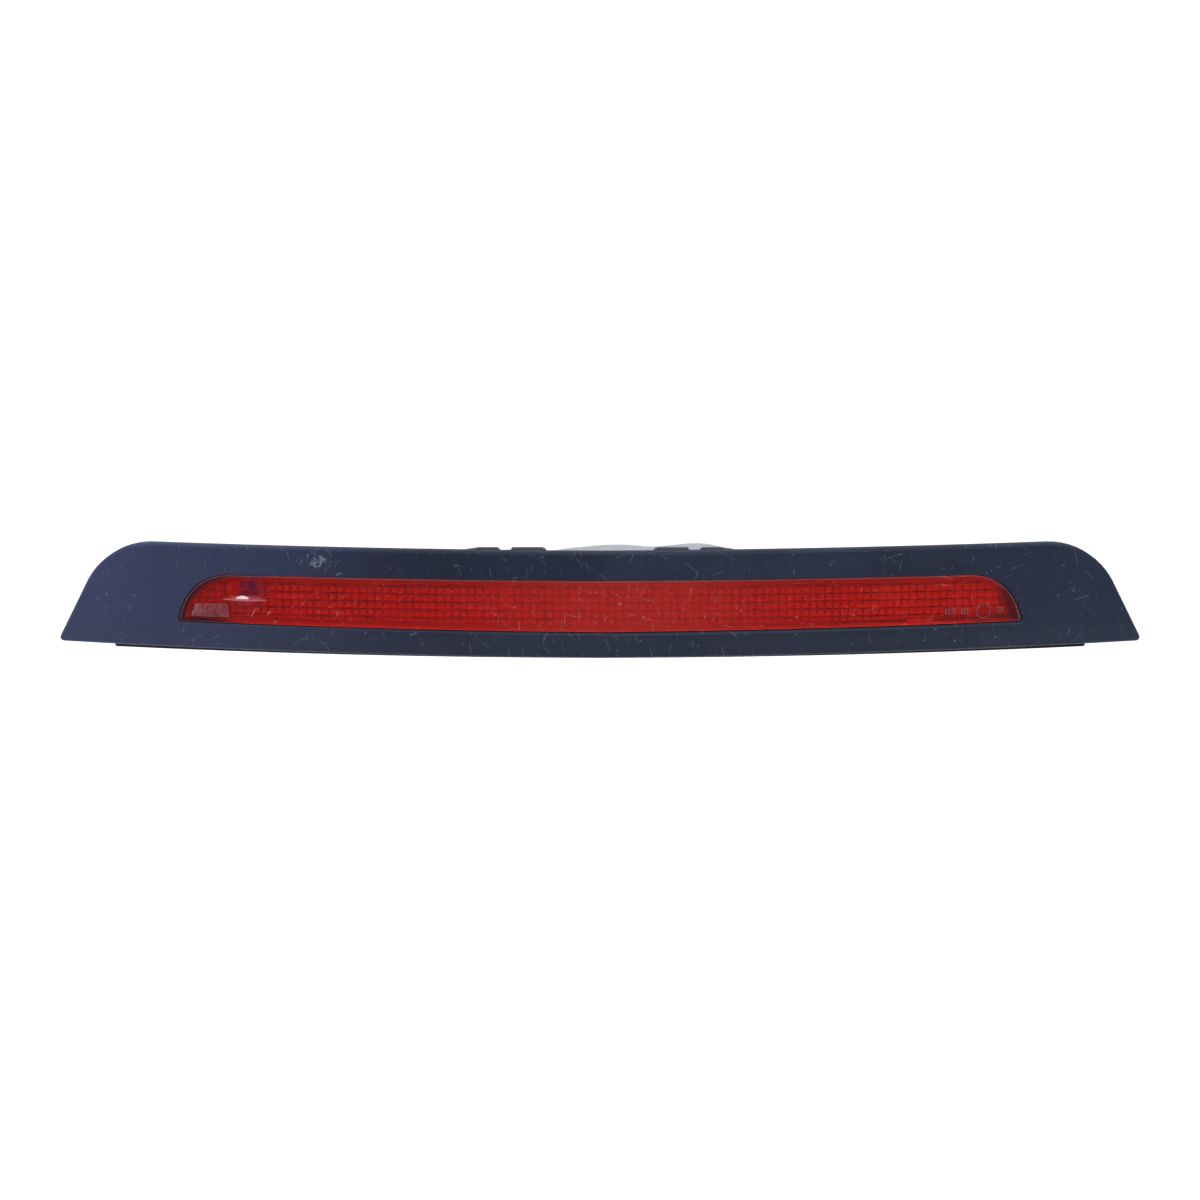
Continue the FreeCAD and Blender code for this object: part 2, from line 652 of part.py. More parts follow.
def make_contact_strip(label, side):
    """One brass strip: side is 1 above the sockets and -1 below them."""
    def levels(low, high):
        return (low, high) if side == 1 else ("-(%s)" % high, "-(%s)" % low)
    floor = ("-carrier_back", "-carrier_back + brass")
    ends = ("-2*bulb_pitch - contact_half", "2*bulb_pitch + contact_half")
    pieces = [block(ends, floor,
                    levels("strip_inner", "strip_outer"))]
    inner_face = "base_thickness/2 + lead_thickness"
    wall = "socket_half_height + 0.1"
    top = "socket_back + 0.1"
    for station in BULB_STATIONS:
        width = (station + " - contact_half", station + " + contact_half")
        pieces.append(block(width, floor, levels(wall, "strip_outer")))
        pieces.append(block(width, ("-carrier_back", top + " + brass"),
                            levels(wall, wall + " + brass")))
        pieces.append(block(width, (top, top + " + brass"),
                            levels(inner_face, wall + " + brass")))
        pieces.append(block(width, ("-1", top + " + brass"),
                            levels(inner_face, inner_face + " + brass")))
    across = "connector_middle - %d*blade_offset" % side
    width = (across + " - blade_width/2", across + " + blade_width/2")
    thickness = ("-blade_level", "-blade_level + brass")
    reach = ((thickness[0], "strip_inner + 0.5") if side == 1
             else ("-strip_inner - 0.5", thickness[1]))
    pieces.append(block(width, floor, reach))
    pieces.append(block(width, ("-carrier_back", "connector_end - 2"), thickness))
    return sub_part(label, fuse(*pieces))


def make_tongue(side_name):
    """A squeeze tongue: hinge bead, neck, leg with a bearing bump, and ridged finger pad."""
    half = ("-tongue_half_width", "tongue_half_width")
    pieces = [
        rod("z", "tongue_pivot", "-pivot_plane", "-tongue_half_width", "tongue_bead",
            "2*tongue_half_width"),
        block(("tongue_pivot", "tongue_pivot + leg_end"),
              ("-pivot_plane - 0.6", "-pivot_plane + 0.6"), half),
        block(("tongue_pivot + leg_start", "tongue_pivot + leg_end"),
              ("-pivot_plane - 0.6", "socket_back"), half),
        block(("tongue_pivot + leg_end - 0.6", "collar_half_length - 0.05"),
              ("-pivot_plane", "-pivot_plane + 0.8"), half),
    ]
    for ridge in range(3):
        level = "socket_back - 0.9 - %d*1.4" % ridge
        pieces.append(rod("z", "tongue_pivot + leg_end", level, "-tongue_half_width", "0.45",
                          "2*tongue_half_width"))
    tongue = fuse(*pieces)
    if side_name == "left":
        tongue = mirrored(tongue)
    return sub_part("carrier_tongue_" + side_name, tongue)


def make_clip_base(side_name, side):
    """The clip's fixed leg with its fold, staked to the housing's seat."""
    middle = side + "*clip_middle"
    width = (middle + " - clip_base_half", middle + " + clip_base_half")
    leg = block(width, ("-seat_front + 1", "-clip_fold"), ("clip_seat", "clip_seat + clip_strip"))
    start = middle + " - clip_base_half"
    centre = ("-clip_fold", "clip_seat + fold_radius")
    bend = cut(rod("x", start, *centre, "fold_radius", "2*clip_base_half"),
               rod("x", start, *centre, "fold_radius - clip_strip", "2*clip_base_half"),
               block((middle + " - 12", middle + " + 12"), ("-clip_fold - 2", "-clip_fold"),
                     ("clip_seat - 1", "clip_seat + 4")))
    peg = rod("z", middle, "-clip_peg", "clip_seat - 1", "peg_radius + 0.05", "5")
    return sub_part("clip_base_" + side_name, cut(fuse(leg, bend), peg))


def clip_profile():
    """Side view of the sprung leg: root at the fold, crest, and turned-down tip."""
    root_low = "clip_seat + 2*fold_radius - clip_strip"
    root_top = "clip_seat + 2*fold_radius"
    return outline("clip_profile", [
        ("-clip_fold - 0.1", root_low, "0"),
        ("-clip_fold - 0.1", root_top, "0"),
        ("-clip_fold - 2.5", root_top, "1"),
        ("-crest_reach", "crest_top + 0.75", "crest_round"),
        ("-crest_reach - 4.3", "crest_top - 3.8", "0"),
        ("-crest_reach - 3.6", "crest_top - 4.1", "0"),
        ("-crest_reach + 0.1", "crest_top - 0.2", "crest_round - clip_strip"),
        ("-clip_fold - 2.5", root_low, "1 + clip_strip"),
    ], plane="YZ")


def make_clip_spring(side_name, side):
    """The sprung leg: two crowned humps with a notch between them."""
    middle = side + "*clip_middle"
    profile = clip_profile()
    item = doc.addObject("Part::Extrusion", "leg")
    item.Base = profile
    item.DirMode = "Custom"
    item.Dir = VECTOR(1, 0, 0)
    item.Solid = True
    bind(item, LengthFwd="2*clip_half_width")
    put(item, x=middle + " - clip_half_width")
    inner = middle + " - " + side + "*clip_half_width"
    outer = middle + " + " + side + "*clip_half_width"
    crown = outline("crown_" + side_name, [
        (inner, "crest_top + 0.5", "2.5"),
        (outer + " - " + side + "*crown_slope", "crest_top + 0.5", "9"),
        (outer, "crest_top - 1.5", "1.5"),
        (outer, "clip_seat - 2", "0"),
        (inner, "clip_seat - 2", "0"),
    ])
    notch = outline("notch_" + side_name, [
        (middle + " - clip_notch - 1.5", "crest_top + 2", "0"),
        (middle + " - clip_notch", "crest_top - 1.2", "2"),
        (middle + " - clip_notch", "clip_seat - 2", "0"),
        (middle + " + clip_notch", "clip_seat - 2", "0"),
        (middle + " + clip_notch", "crest_top - 1.2", "2"),
        (middle + " + clip_notch + 1.5", "crest_top + 2", "0"),
    ])
    waist = []
    for direction in ("-1", "1"):
        edge = middle + " + " + direction + "*clip_base_half"
        outer = middle + " + " + direction + "*(clip_half_width + 1)"
        ends = (edge, outer) if direction == "1" else (outer, edge)
        waist.append(block(ends, ("-13", "0"), ("clip_seat", "crest_top")))
    crowned = common(item, prism(crown, "-half_height", "0"))
    leg = cut(crowned, prism(notch, "-half_height", "-clip_peg + 2.6"), *waist)
    return sub_part("clip_spring_" + side_name, leg)


def make_screws():
    """Four pan-head self-tapping screws with cross recesses, as one group."""
    screws = []
    for across, up, seat in screw_places():
        head_face = seat + " + 0.1 + ear_thickness"
        shank = rod("y", across, seat + " - screw_length", up, "screw_radius",
                    "screw_length + 0.2 + ear_thickness")
        point = taper(across, seat + " - screw_length - 0.6", up, "0.6", "screw_radius", "0.6")
        head = rod("y", across, head_face, up, "head_radius", "1.2")
        dome = common(rod("y", across, head_face + " + 1.2", up, "head_radius", "0.8"),
                      ball(across, head_face + " - 3", up, "5.05"))
        slots = []
        for half_width, half_height in (("1.5", "0.32"), ("0.32", "1.5")):
            slots.append(block(("%s - %s" % (across, half_width), "%s + %s" % (across, half_width)),
                               (head_face + " + 0.9", head_face + " + 3"),
                               ("%s - %s" % (up, half_height), "%s + %s" % (up, half_height))))
        screws.append(cut(fuse(shank, point, head, dome), *slots))
    return sub_part("trim_screws", group(*screws))


def make_inserts():
    """Two brass threaded inserts, flush with the ends of the fixing bosses."""
    inserts = []
    for side in SIDES.values():
        middle = side + "*fixing_half_spacing"
        body = rod("y", middle, "-insert_length", "0", "insert_radius - 0.02", "insert_length")
        bore = rod("y", middle, "-insert_length - 1", "0", "insert_bore", "insert_length + 2")
        inserts.append(cut(body, bore))
    return sub_part("threaded_inserts", group(*inserts))


def make_lower_seal_strip():
    side_on = outline("strip_outline", [
        ("-strip_half_length", "-16", "0"),
        ("strip_half_length", "-16", "0"),
        ("strip_half_length", "-strip_bottom_end", "0.6"),
        ("0", "-strip_bottom_middle", "0"),
        ("-strip_half_length", "-strip_bottom_end", "0.6"),
    ])
    band = layer(side_on, "trim_face + 0.6", "trim_return - 0.5")
    inside = prism(grown(trim, "0.02"), "-half_height", "half_height")
    return sub_part("lower_seal_strip", cut(band, inside))


def make_foam_pads():
    """Anti-rattle pads behind the trim's ends."""
    inner = "pad_middle - 9"
    outer = "pad_middle + 6"
    top = "8"
    bottom = "-13"
    pad_outline = outline("pad_outline", [
        (inner, top, "2"),
        (outer, top, "2"),
        (outer, bottom, "2"),
        (inner, bottom, "2"),
    ])
    pad = layer(pad_outline, "trim_face + 0.02", "trim_return + 3")
    sub_part("foam_pad_right", pad)
    sub_part("foam_pad_left", mirrored(pad))


def write_sub_parts():
    doc.recompute()
    faults = []
    for item in doc.Objects:
        if {"Invalid", "Error"} & set(item.State):
            faults.append("%s: %s" % (item.Label, item.State))
    for item in sub_parts:
        shape = item.Shape
        if shape.isNull() or not shape.isValid() or shape.Volume <= 0:
            faults.append("%s: bad shape" % item.Label)
    if faults:
        raise RuntimeError("\n".join(faults))
    os.makedirs("parts", exist_ok=True)
    for item in sub_parts:
        item.Shape.exportStep("parts/%s.step" % item.Label)
        box = item.Shape.BoundBox
        print("%-22s solids %d  volume %9.1f  x %.1f..%.1f  y %.1f..%.1f  z %.1f..%.1f" % (
            item.Label, len(item.Shape.Solids), item.Shape.Volume, box.XMin, box.XMax,
            box.YMin, box.YMax, box.ZMin, box.ZMax))


trim = make_trim_outline()
window = make_window_outline()

make_trim_cover()
make_lens()
make_lens_seal()
make_lamp_housing()
make_reflector()
make_bulb_carrier()
make_contact_strip("supply_strip", 1)
make_contact_strip("ground_strip", -1)
for bulb_index, bulb_station in enumerate(BULB_STATIONS, start=1):
    make_bulb(bulb_index, bulb_station)
    make_filament(bulb_index, bulb_station)
for name, sign in SIDES.items():
    make_tongue(name)
    make_clip_base(name, sign)
    make_clip_spring(name, sign)
make_foam_pads()
make_screws()
make_inserts()
make_lower_seal_strip()
write_sub_parts()
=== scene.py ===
import json
import math

import bmesh
import bpy
import numpy as np
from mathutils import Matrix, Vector


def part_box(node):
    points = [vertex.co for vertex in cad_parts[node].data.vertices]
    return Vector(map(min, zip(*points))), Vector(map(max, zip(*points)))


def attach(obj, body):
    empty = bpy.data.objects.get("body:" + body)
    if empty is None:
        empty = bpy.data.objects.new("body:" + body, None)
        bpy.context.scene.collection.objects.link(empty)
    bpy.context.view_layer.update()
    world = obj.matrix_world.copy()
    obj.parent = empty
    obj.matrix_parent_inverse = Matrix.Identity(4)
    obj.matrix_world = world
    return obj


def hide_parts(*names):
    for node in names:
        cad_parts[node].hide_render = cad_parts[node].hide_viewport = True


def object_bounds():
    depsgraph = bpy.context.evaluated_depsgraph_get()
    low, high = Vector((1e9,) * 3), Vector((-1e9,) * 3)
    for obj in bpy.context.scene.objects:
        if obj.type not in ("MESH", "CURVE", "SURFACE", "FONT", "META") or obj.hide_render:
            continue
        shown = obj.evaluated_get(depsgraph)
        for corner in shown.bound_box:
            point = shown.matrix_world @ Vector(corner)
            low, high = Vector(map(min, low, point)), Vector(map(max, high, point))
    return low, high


# Third brake light: the visual model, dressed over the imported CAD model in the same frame.
# Metres: X along the lamp, -Y towards the viewer, Z up. The front is bowed in plan, so
# "depth" is how far a face lies behind the trim's front face, towards the bow's axis.

MM = 0.001


def mm(*values):
    """Several sizes in millimetres, as metres."""
    return tuple(value * MM for value in values)


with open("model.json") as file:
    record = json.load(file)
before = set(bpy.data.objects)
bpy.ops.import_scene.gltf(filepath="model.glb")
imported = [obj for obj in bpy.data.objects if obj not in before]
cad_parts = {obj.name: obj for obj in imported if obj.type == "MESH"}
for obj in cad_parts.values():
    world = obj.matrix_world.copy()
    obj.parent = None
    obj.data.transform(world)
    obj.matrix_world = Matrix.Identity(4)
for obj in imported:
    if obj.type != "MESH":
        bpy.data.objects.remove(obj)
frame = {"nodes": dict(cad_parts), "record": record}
cad_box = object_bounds()

TRIM_FRONT_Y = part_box("trim_cover")[0][1]
LENS_LOW, LENS_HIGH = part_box("lens")
BOW_RADIUS = 900 * MM
BOW_CENTRE_Y = TRIM_FRONT_Y + BOW_RADIUS
SAME_PLACE = 0.0001 * MM

# The window in the trim: the corners (x, z) of its right half in mm, from the top middle.
WINDOW_CORNERS = ((0, 10.1), (162.8, 10.5), (168.1, -9.3), (0, -11.0))
SHOULDER_ROUND = 21 * MM
SHOULDER_STEPS = 24
CORNER_ROUND = 1.2 * MM
CORNER_STEPS = 8

# The lens, with a gap to the window all round and a flange that laps behind the trim.
LENS_GAP = 0.3 * MM
LENS_FRONT = 0.8 * MM
LENS_BACK = 3.4 * MM
EDGE_ROUND = 0.5 * MM
FLANGE_LAP = 2.0 * MM
FLANGE_FRONT = 2.45 * MM
FLANGE_BACK = 4.6 * MM

# The pillow optics on its back: square, with one row line at the height OPTIC_LINE.
OPTIC_PITCH = 3.05 * MM
OPTIC_LINE = 0.7 * MM
OPTIC_RISE = 0.42 * MM
OPTIC_RIM = 2.3 * MM
OPTIC_RIM_FADE = 0.3 * MM

# What is painted on the lens's points for its materials to read.
INSIDE_LAYERS = ("optics", "gutter_shade")
# The front's layers: stains, with painted shadow in the first, painted highlights in the second and
# painted shade in the third.
STAIN_AND_LIGHT_LAYERS = ("burnt_and_shadow", "worn", "dark")


def bow_y(x, depth=0.0):
    """Y of the bowed face that lies depth behind the trim's front face."""
    return BOW_CENTRE_Y - np.sqrt((BOW_RADIUS - depth) ** 2 - np.square(x))


def on_bow(x, z, depth):
    """The point of a bowed face at x and z."""
    return x, float(bow_y(x, depth)), z


# --- Camera, light and floor ---------------------------------------------------------

CAMERA_ELEVATION = math.radians(10)
CAMERA_DISTANCE = 0.9
CAMERA_LENS = 69.2
CAMERA_SENSOR = 36
AIM_HEIGHT = 2.4 * MM
WHITE = (1, 1, 1, 1)
STUDIO_COLOUR = (0.88, 0.92, 1.0, 1)
STUDIO_HEIGHTS = (-0.35, 0.45)
STUDIO_STRENGTHS = (0.10, 0.60)
FLOOR_DROP = 0.3
FLOOR_START = -0.25
FLOOR_END = 1.6
FLOOR_BEND = 0.8
FLOOR_RISE = 3.5
FLOOR_HALF_WIDTH = 4.0
FLOOR_STEPS = 12
FLOOR_PAPER = {"Base Color": (0.94, 0.94, 0.94, 1), "Roughness": 0.95, "Specular IOR Level": 0.0,
               "Emission Color": WHITE, "Emission Strength": 0.35}


def make_camera():
    data = bpy.data.cameras.new("camera")
    data.lens = CAMERA_LENS
    data.sensor_width = CAMERA_SENSOR
    camera = bpy.data.objects.new("camera", data)
    bpy.context.scene.collection.objects.link(camera)
    aim = Vector((0, TRIM_FRONT_Y, AIM_HEIGHT))
    away = Vector((0, -math.cos(CAMERA_ELEVATION), math.sin(CAMERA_ELEVATION)))
    camera.location = aim + away * CAMERA_DISTANCE
    camera.rotation_euler = (-away).to_track_quat("-Z", "Y").to_euler()
    bpy.context.scene.camera = camera


def make_world():
    """White behind the object, and a soft studio that is darker below the horizon."""
    world = bpy.data.worlds.new("studio")
    bpy.context.scene.world = world
    world.use_nodes = True
    nodes = world.node_tree.nodes
    links = world.node_tree.links
    nodes.clear()
    output = nodes.new("ShaderNodeOutputWorld")
    mix = nodes.new("ShaderNodeMixShader")
    path = nodes.new("ShaderNodeLightPath")
    light = nodes.new("ShaderNodeBackground")
    seen = nodes.new("ShaderNodeBackground")
    place = nodes.new("ShaderNodeTexCoord")
    split = nodes.new("ShaderNodeSeparateXYZ")
    height = nodes.new("ShaderNodeMapRange")
    height.inputs["From Min"].default_value, height.inputs["From Max"].default_value = STUDIO_HEIGHTS
    height.inputs["To Min"].default_value, height.inputs["To Max"].default_value = STUDIO_STRENGTHS
    light.inputs["Color"].default_value = STUDIO_COLOUR
    seen.inputs["Color"].default_value = WHITE
    seen.inputs["Strength"].default_value = 1.0
    links.new(place.outputs["Generated"], split.inputs["Vector"])
    links.new(split.outputs["Z"], height.inputs["Value"])
    links.new(height.outputs["Result"], light.inputs["Strength"])
    links.new(path.outputs["Is Camera Ray"], mix.inputs["Fac"])
    links.new(light.outputs["Background"], mix.inputs[1])
    links.new(seen.outputs["Background"], mix.inputs[2])
    links.new(mix.outputs["Shader"], output.inputs["Surface"])
    bpy.context.scene.view_settings.view_transform = "Standard"


def add_area_light(name, place, size, power, colour):
    """A square light that points at the lamp."""
    data = bpy.data.lights.new(name, "AREA")
    data.size = size
    data.energy = power
    data.color = colour
    light = bpy.data.objects.new(name, data)
    light.location = place
    light.rotation_euler = (-Vector(place)).to_track_quat("-Z", "Y").to_euler()
    bpy.context.scene.collection.objects.link(light)


def make_lights():
    add_area_light("key", place=(0.35, -0.9, 1.2), size=1.0, power=19, colour=(1.0, 0.99, 0.97))
    add_area_light("side", place=(-1.3, -0.35, 0.25), size=0.8, power=5, colour=(0.86, 0.9, 1.0))
    add_area_light("back", place=(0.1, 1.0, 1.1), size=0.9, power=5, colour=(1.0, 1.0, 1.0))


def make_floor():
    """A plain pale sheet, well below the lamp, that curves up far behind it."""
    level = cad_box[0][2] - FLOOR_DROP
    profile = [(FLOOR_START, level)]
    for step in range(FLOOR_STEPS + 1):
        angle = math.radians(90 * step / FLOOR_STEPS)
        profile.append((FLOOR_END + FLOOR_BEND * math.sin(angle),
                        level + FLOOR_BEND * (1 - math.cos(angle))))
    profile.append((FLOOR_END + FLOOR_BEND, level + FLOOR_RISE))
    points = [(side * FLOOR_HALF_WIDTH, y, z) for y, z in profile for side in (-1, 1)]
    faces = [(2 * i, 2 * i + 1, 2 * i + 3, 2 * i + 2) for i in range(len(profile) - 1)]
    mesh = bpy.data.meshes.new("floor")
    mesh.from_pydata(points, [], faces)
    for face in mesh.polygons:
        face.use_smooth = True
    floor = bpy.data.objects.new("floor", mesh)
    bpy.context.scene.collection.objects.link(floor)
    material = bpy.data.materials.new("floor_paper")
    material.use_nodes = True
    shader = material.node_tree.nodes["Principled BSDF"]
    for socket, value in FLOOR_PAPER.items():
        shader.inputs[socket].default_value = value
    mesh.materials.append(material)


# --- Materials -----------------------------------------------------------------------

# The Mix node's sockets for colours, which share their names with those for numbers.
MIX_COLOUR_INPUTS = (6, 7)
MIX_COLOUR_OUTPUT = 2
STROKE_EDGE = 0.03
STROKE_SHIFT = (0.31, 0, 0.17)


class Look:
    """A Principled material with helpers for the procedural nodes that feed it."""

    def __init__(self, name, colour, roughness, metallic=0.0, **sockets):
        self.name = name
        self.material = bpy.data.materials.new(name)
        self.material.use_nodes = True
        self.nodes = self.material.node_tree.nodes
        self.links = self.material.node_tree.links
        self.shader = self.nodes["Principled BSDF"]
        self.colour = (*colour, 1)
        self.set("Base Color", self.colour)
        self.set("Roughness", roughness)
        self.set("Metallic", metallic)
        for socket, value in sockets.items():
            self.set(socket.replace("_", " "), value)
        self.place = self.nodes.new("ShaderNodeTexCoord").outputs["Object"]

    def set(self, socket, value):
        self.shader.inputs[socket].default_value = value

    def feed(self, socket, value):
        self.links.new(value, self.shader.inputs[socket])

    def node(self, kind, inputs=(), **settings):
        """A new node, with a value or another node's output at each of its inputs."""
        node = self.nodes.new("ShaderNode" + kind)
        for name, value in settings.items():
            setattr(node, name, value)
        for key, value in dict(inputs).items():
            if isinstance(value, bpy.types.NodeSocket):
                self.links.new(value, node.inputs[key])
            else:
                node.inputs[key].default_value = value
        return node

    def attribute(self, name):
        """A value painted on the mesh's points."""
        return self.node("Attribute", attribute_name=name).outputs["Fac"]

    def split(self, vector):
        """A vector's parts, by the names X, Y and Z."""
        return self.node("SeparateXYZ", {"Vector": vector}).outputs

    def stretched(self, scale, turn=(0, 0, 0), shift=(0, 0, 0)):
        """Object coordinates, moved and turned first and then scaled along each axis."""
        size = tuple(1 / value for value in scale)
        node = self.node("Mapping", {"Vector": self.place, "Scale": size, "Rotation": turn,
                                     "Location": shift}, vector_type="TEXTURE")
        return node.outputs["Vector"]

    def noise(self, scale, detail=3.0, rough=0.5, place=None):
        node = self.node("TexNoise", {"Vector": place or self.place, "Scale": scale,
                                      "Detail": detail, "Roughness": rough})
        return node.outputs["Fac"]

    def maths(self, operation, first, second=0.0):
        return self.node("Math", {0: first, 1: second}, operation=operation).outputs["Value"]

    def times(self, first, second):
        return self.maths("MULTIPLY", first, second)

    def largest(self, *values):
        found = values[0]
        for value in values[1:]:
            found = self.maths("MAXIMUM", found, value)
        return found

    def ranged(self, value, source, result=(0.0, 1.0)):
        """Carry one range of values over to another, held at its two ends."""
        node = self.node("MapRange", {"Value": value, "From Min": source[0], "From Max": source[1],
                                      "To Min": result[0], "To Max": result[1]})
        return node.outputs["Result"]

    def blend(self, factor, first, second):
        """A mix of two colours, each a plain colour or another node's output."""
        node = self.node("Mix", {"Factor": factor}, data_type="RGBA")
        for index, value in zip(MIX_COLOUR_INPUTS, (first, second)):
            if isinstance(value, bpy.types.NodeSocket):
                self.links.new(value, node.inputs[index])
            else:
                node.inputs[index].default_value = (*value[:3], 1)
        return node.outputs[MIX_COLOUR_OUTPUT]

    def bump(self, height, distance, strength=1.0):
        """Add a relief, distance metres high, over any relief already there."""
        inputs = {"Height": height, "Distance": distance, "Strength": strength}
        before = self.shader.inputs["Normal"].links
        if before:
            inputs["Normal"] = before[0].from_socket
        self.feed("Normal", self.node("Bump", inputs).outputs["Normal"])

    def strokes(self, scale, turns, threshold):
        """Short straight scratches at several angles, in degrees, in the XZ plane."""
        along, across = scale
        found = []
        for index, turn in enumerate(turns):
            shift = tuple(index * value for value in STROKE_SHIFT)
            drawn = self.stretched((along, along, across), (0, math.radians(turn), 0), shift)
            noise = self.noise(1.0, 0.0, 0.5, drawn)
            found.append(self.ranged(noise, (threshold, threshold + STROKE_EDGE)))
        return self.largest(*found)


def vary(look, amount, scale=60, detail=4.0):
    """Slow lightening and darkening of a material's own colour."""
    dark = [c * (1 - amount) for c in look.colour[:3]]
    light = [min(1.0, c * (1 + amount)) for c in look.colour[:3]]
    factor = look.ranged(look.noise(scale, detail), (0.3, 0.7))
    return look.blend(factor, dark, light)


def moulded(name, colour, roughness, grain=0.02 * MM, grain_scale=2600, amount=0.15, worn=0.6,
            **sockets):
    """Moulded plastic, rubber or foam: fine grain, uneven gloss, dust and handling marks."""
    look = Look(name, colour, roughness, **sockets)
    dusty = [c * 0.8 + 0.02 for c in colour]
    rubbed = [min(1.0, c * 1.3 + 0.02) for c in colour]
    dust = look.ranged(look.noise(45, 6.0, 0.7), (0.50, 0.80), (0.0, 0.35))
    base = look.blend(dust, vary(look, amount), dusty)
    marks = look.strokes((120, 2400), (20, 80, 130), 0.80)
    look.feed("Base Color", look.blend(look.times(marks, worn), base, rubbed))
    gloss = look.ranged(look.noise(35, 5.0), (0.3, 0.7), (roughness - 0.07, roughness + 0.09))
    look.feed("Roughness", gloss)
    look.bump(look.noise(grain_scale, 2.0), grain, 0.6)
    return look


def metal(name, colour, roughness, brushed=(1, 1, 1)):
    """Bare or plated metal: drawn grain, uneven sheen and dull spots."""
    look = Look(name, colour, roughness, metallic=1.0)
    grain = look.noise(900, 3.0, place=look.stretched(brushed))
    look.feed("Base Color", vary(look, 0.12, 140))
    look.feed("Roughness", look.ranged(grain, (0.3, 0.7), (roughness - 0.06, roughness + 0.12)))
    look.bump(grain, 0.01 * MM, 0.5)
    return look


TRIM_COLOUR = (0.0170, 0.0235, 0.044)
TRIM_BLUE = (0.050, 0.058, 0.130)
TRIM_BLUE_SPAN = mm(-200, -60)
TRIM_LOWER_TONE = (0.050, 0.056, 0.078)
TRIM_LOWER_SPAN = mm(-9, -14)
TRIM_SMUDGE = (0.040, 0.050, 0.078)
TRIM_MARK = (0.24, 0.28, 0.38)
SCUFF_PLACE = mm(-111, -36, 17)
SCUFF_STRETCH = (0.8, 0.01, 1.8)
SCUFF_SPAN = mm(2, 16)


def trim_scuff(look, facing):
    """Pale flakes rubbed off the trim's front, thickest round one place."""
    from_scuff = look.stretched(SCUFF_STRETCH, shift=SCUFF_PLACE)
    far = look.node("VectorMath", {0: from_scuff}, operation="LENGTH").outputs["Value"]
    near = look.ranged(far, SCUFF_SPAN, (0.08, -0.22))
    flakes = look.noise(1.0, 5.0, 0.75, look.stretched((900, 900, 520), (0, 0.6, 0)))
    flakes = look.ranged(look.maths("ADD", flakes, near), (0.58, 0.64))
    return look.times(look.ranged(facing["Y"], (-0.3, -0.6)), flakes)


def make_trim_look():
    """Dark moulded trim, bluer to the left and paler towards the bottom, with smudges, scuffs and
    scratches.
    """
    look = Look("trim_plastic", TRIM_COLOUR, 0.45, Specular_IOR_Level=0.25)
    place = look.split(look.place)
    facing = look.split(look.node("TexCoord").outputs["Normal"])
    specks = look.ranged(look.noise(480, 1.0), (0.745, 0.775))
    scratches = look.strokes((150, 2300), (75, 105, 40, -20), 0.815)
    scratches = look.times(look.largest(scratches, specks), 0.45)
    marks = look.largest(scratches, trim_scuff(look, facing))
    blue = look.ranged(place["X"], TRIM_BLUE_SPAN, (0.8, 0.0))
    # Paler towards the bottom.
    dust = look.ranged(place["Z"], TRIM_LOWER_SPAN, (0.0, 0.22))
    smudge = look.ranged(look.noise(26, 6.0, 0.7), (0.55, 0.75), (0.0, 0.3))
    base = vary(look, 0.25, 16, 5.0)
    for amount, colour in ((blue, TRIM_BLUE), (dust, TRIM_LOWER_TONE), (smudge, TRIM_SMUDGE),
                           (look.times(marks, 0.6), TRIM_MARK)):
        base = look.blend(amount, base, colour)
    look.feed("Base Color", base)
    gloss = look.ranged(look.noise(22, 5.0), (0.3, 0.7), (0.38, 0.52))
    matt_top = look.ranged(facing["Z"], (0.25, 0.7), (0.0, 0.5))
    matt = look.largest(matt_top, look.times(marks, 0.2))
    look.feed("Roughness", look.maths("ADD", gloss, matt))
    look.bump(look.noise(2200, 2.0), 0.03 * MM, 0.5)
    look.bump(marks, -0.02 * MM, 0.6)
    return look


LENS_IOR = 1.49
LENS_COLOUR = (0.97, 0.040, 0.024)
LENS_HAZE = (0.38, 0.052, 0.044)
LENS_SCRATCH = (0.62, 0.30, 0.28)
# Scorched, and the painted shadow under the burn's lip.
LENS_BURNT_AND_SHADOW = (0.13, 0.012, 0.045)
# Painted shade at the lens's ends, and the dark arc over the burn's glint.
LENS_DARK = (0.060, 0.006, 0.020)
# Pale wear, and painted highlights on the burn's glint and along the lens's edge.
LENS_WORN_AND_HIGHLIGHT = (0.90, 0.68, 0.72)
HAZE_MIDDLE = 12 * MM
HAZE_SPAN = mm(15, 95)


def lens_haze(look, side):
    """Dust and wear on the lens: thicker and drawn into vertical streaks at the middle."""
    off_middle = look.maths("ABSOLUTE", look.maths("SUBTRACT", side, HAZE_MIDDLE))
    middle = look.ranged(off_middle, HAZE_SPAN, (1.0, 0.0))
    streaks = look.noise(1.0, 3.0, 0.6, look.stretched((260, 40, 24)))
    veil = look.times(middle, look.ranged(streaks, (0.32, 0.70), (0.24, 0.40)))
    cloud = look.ranged(look.noise(70, 6.0, 0.65), (0.40, 0.75), (0.02, 0.16))
    return look.largest(cloud, veil)


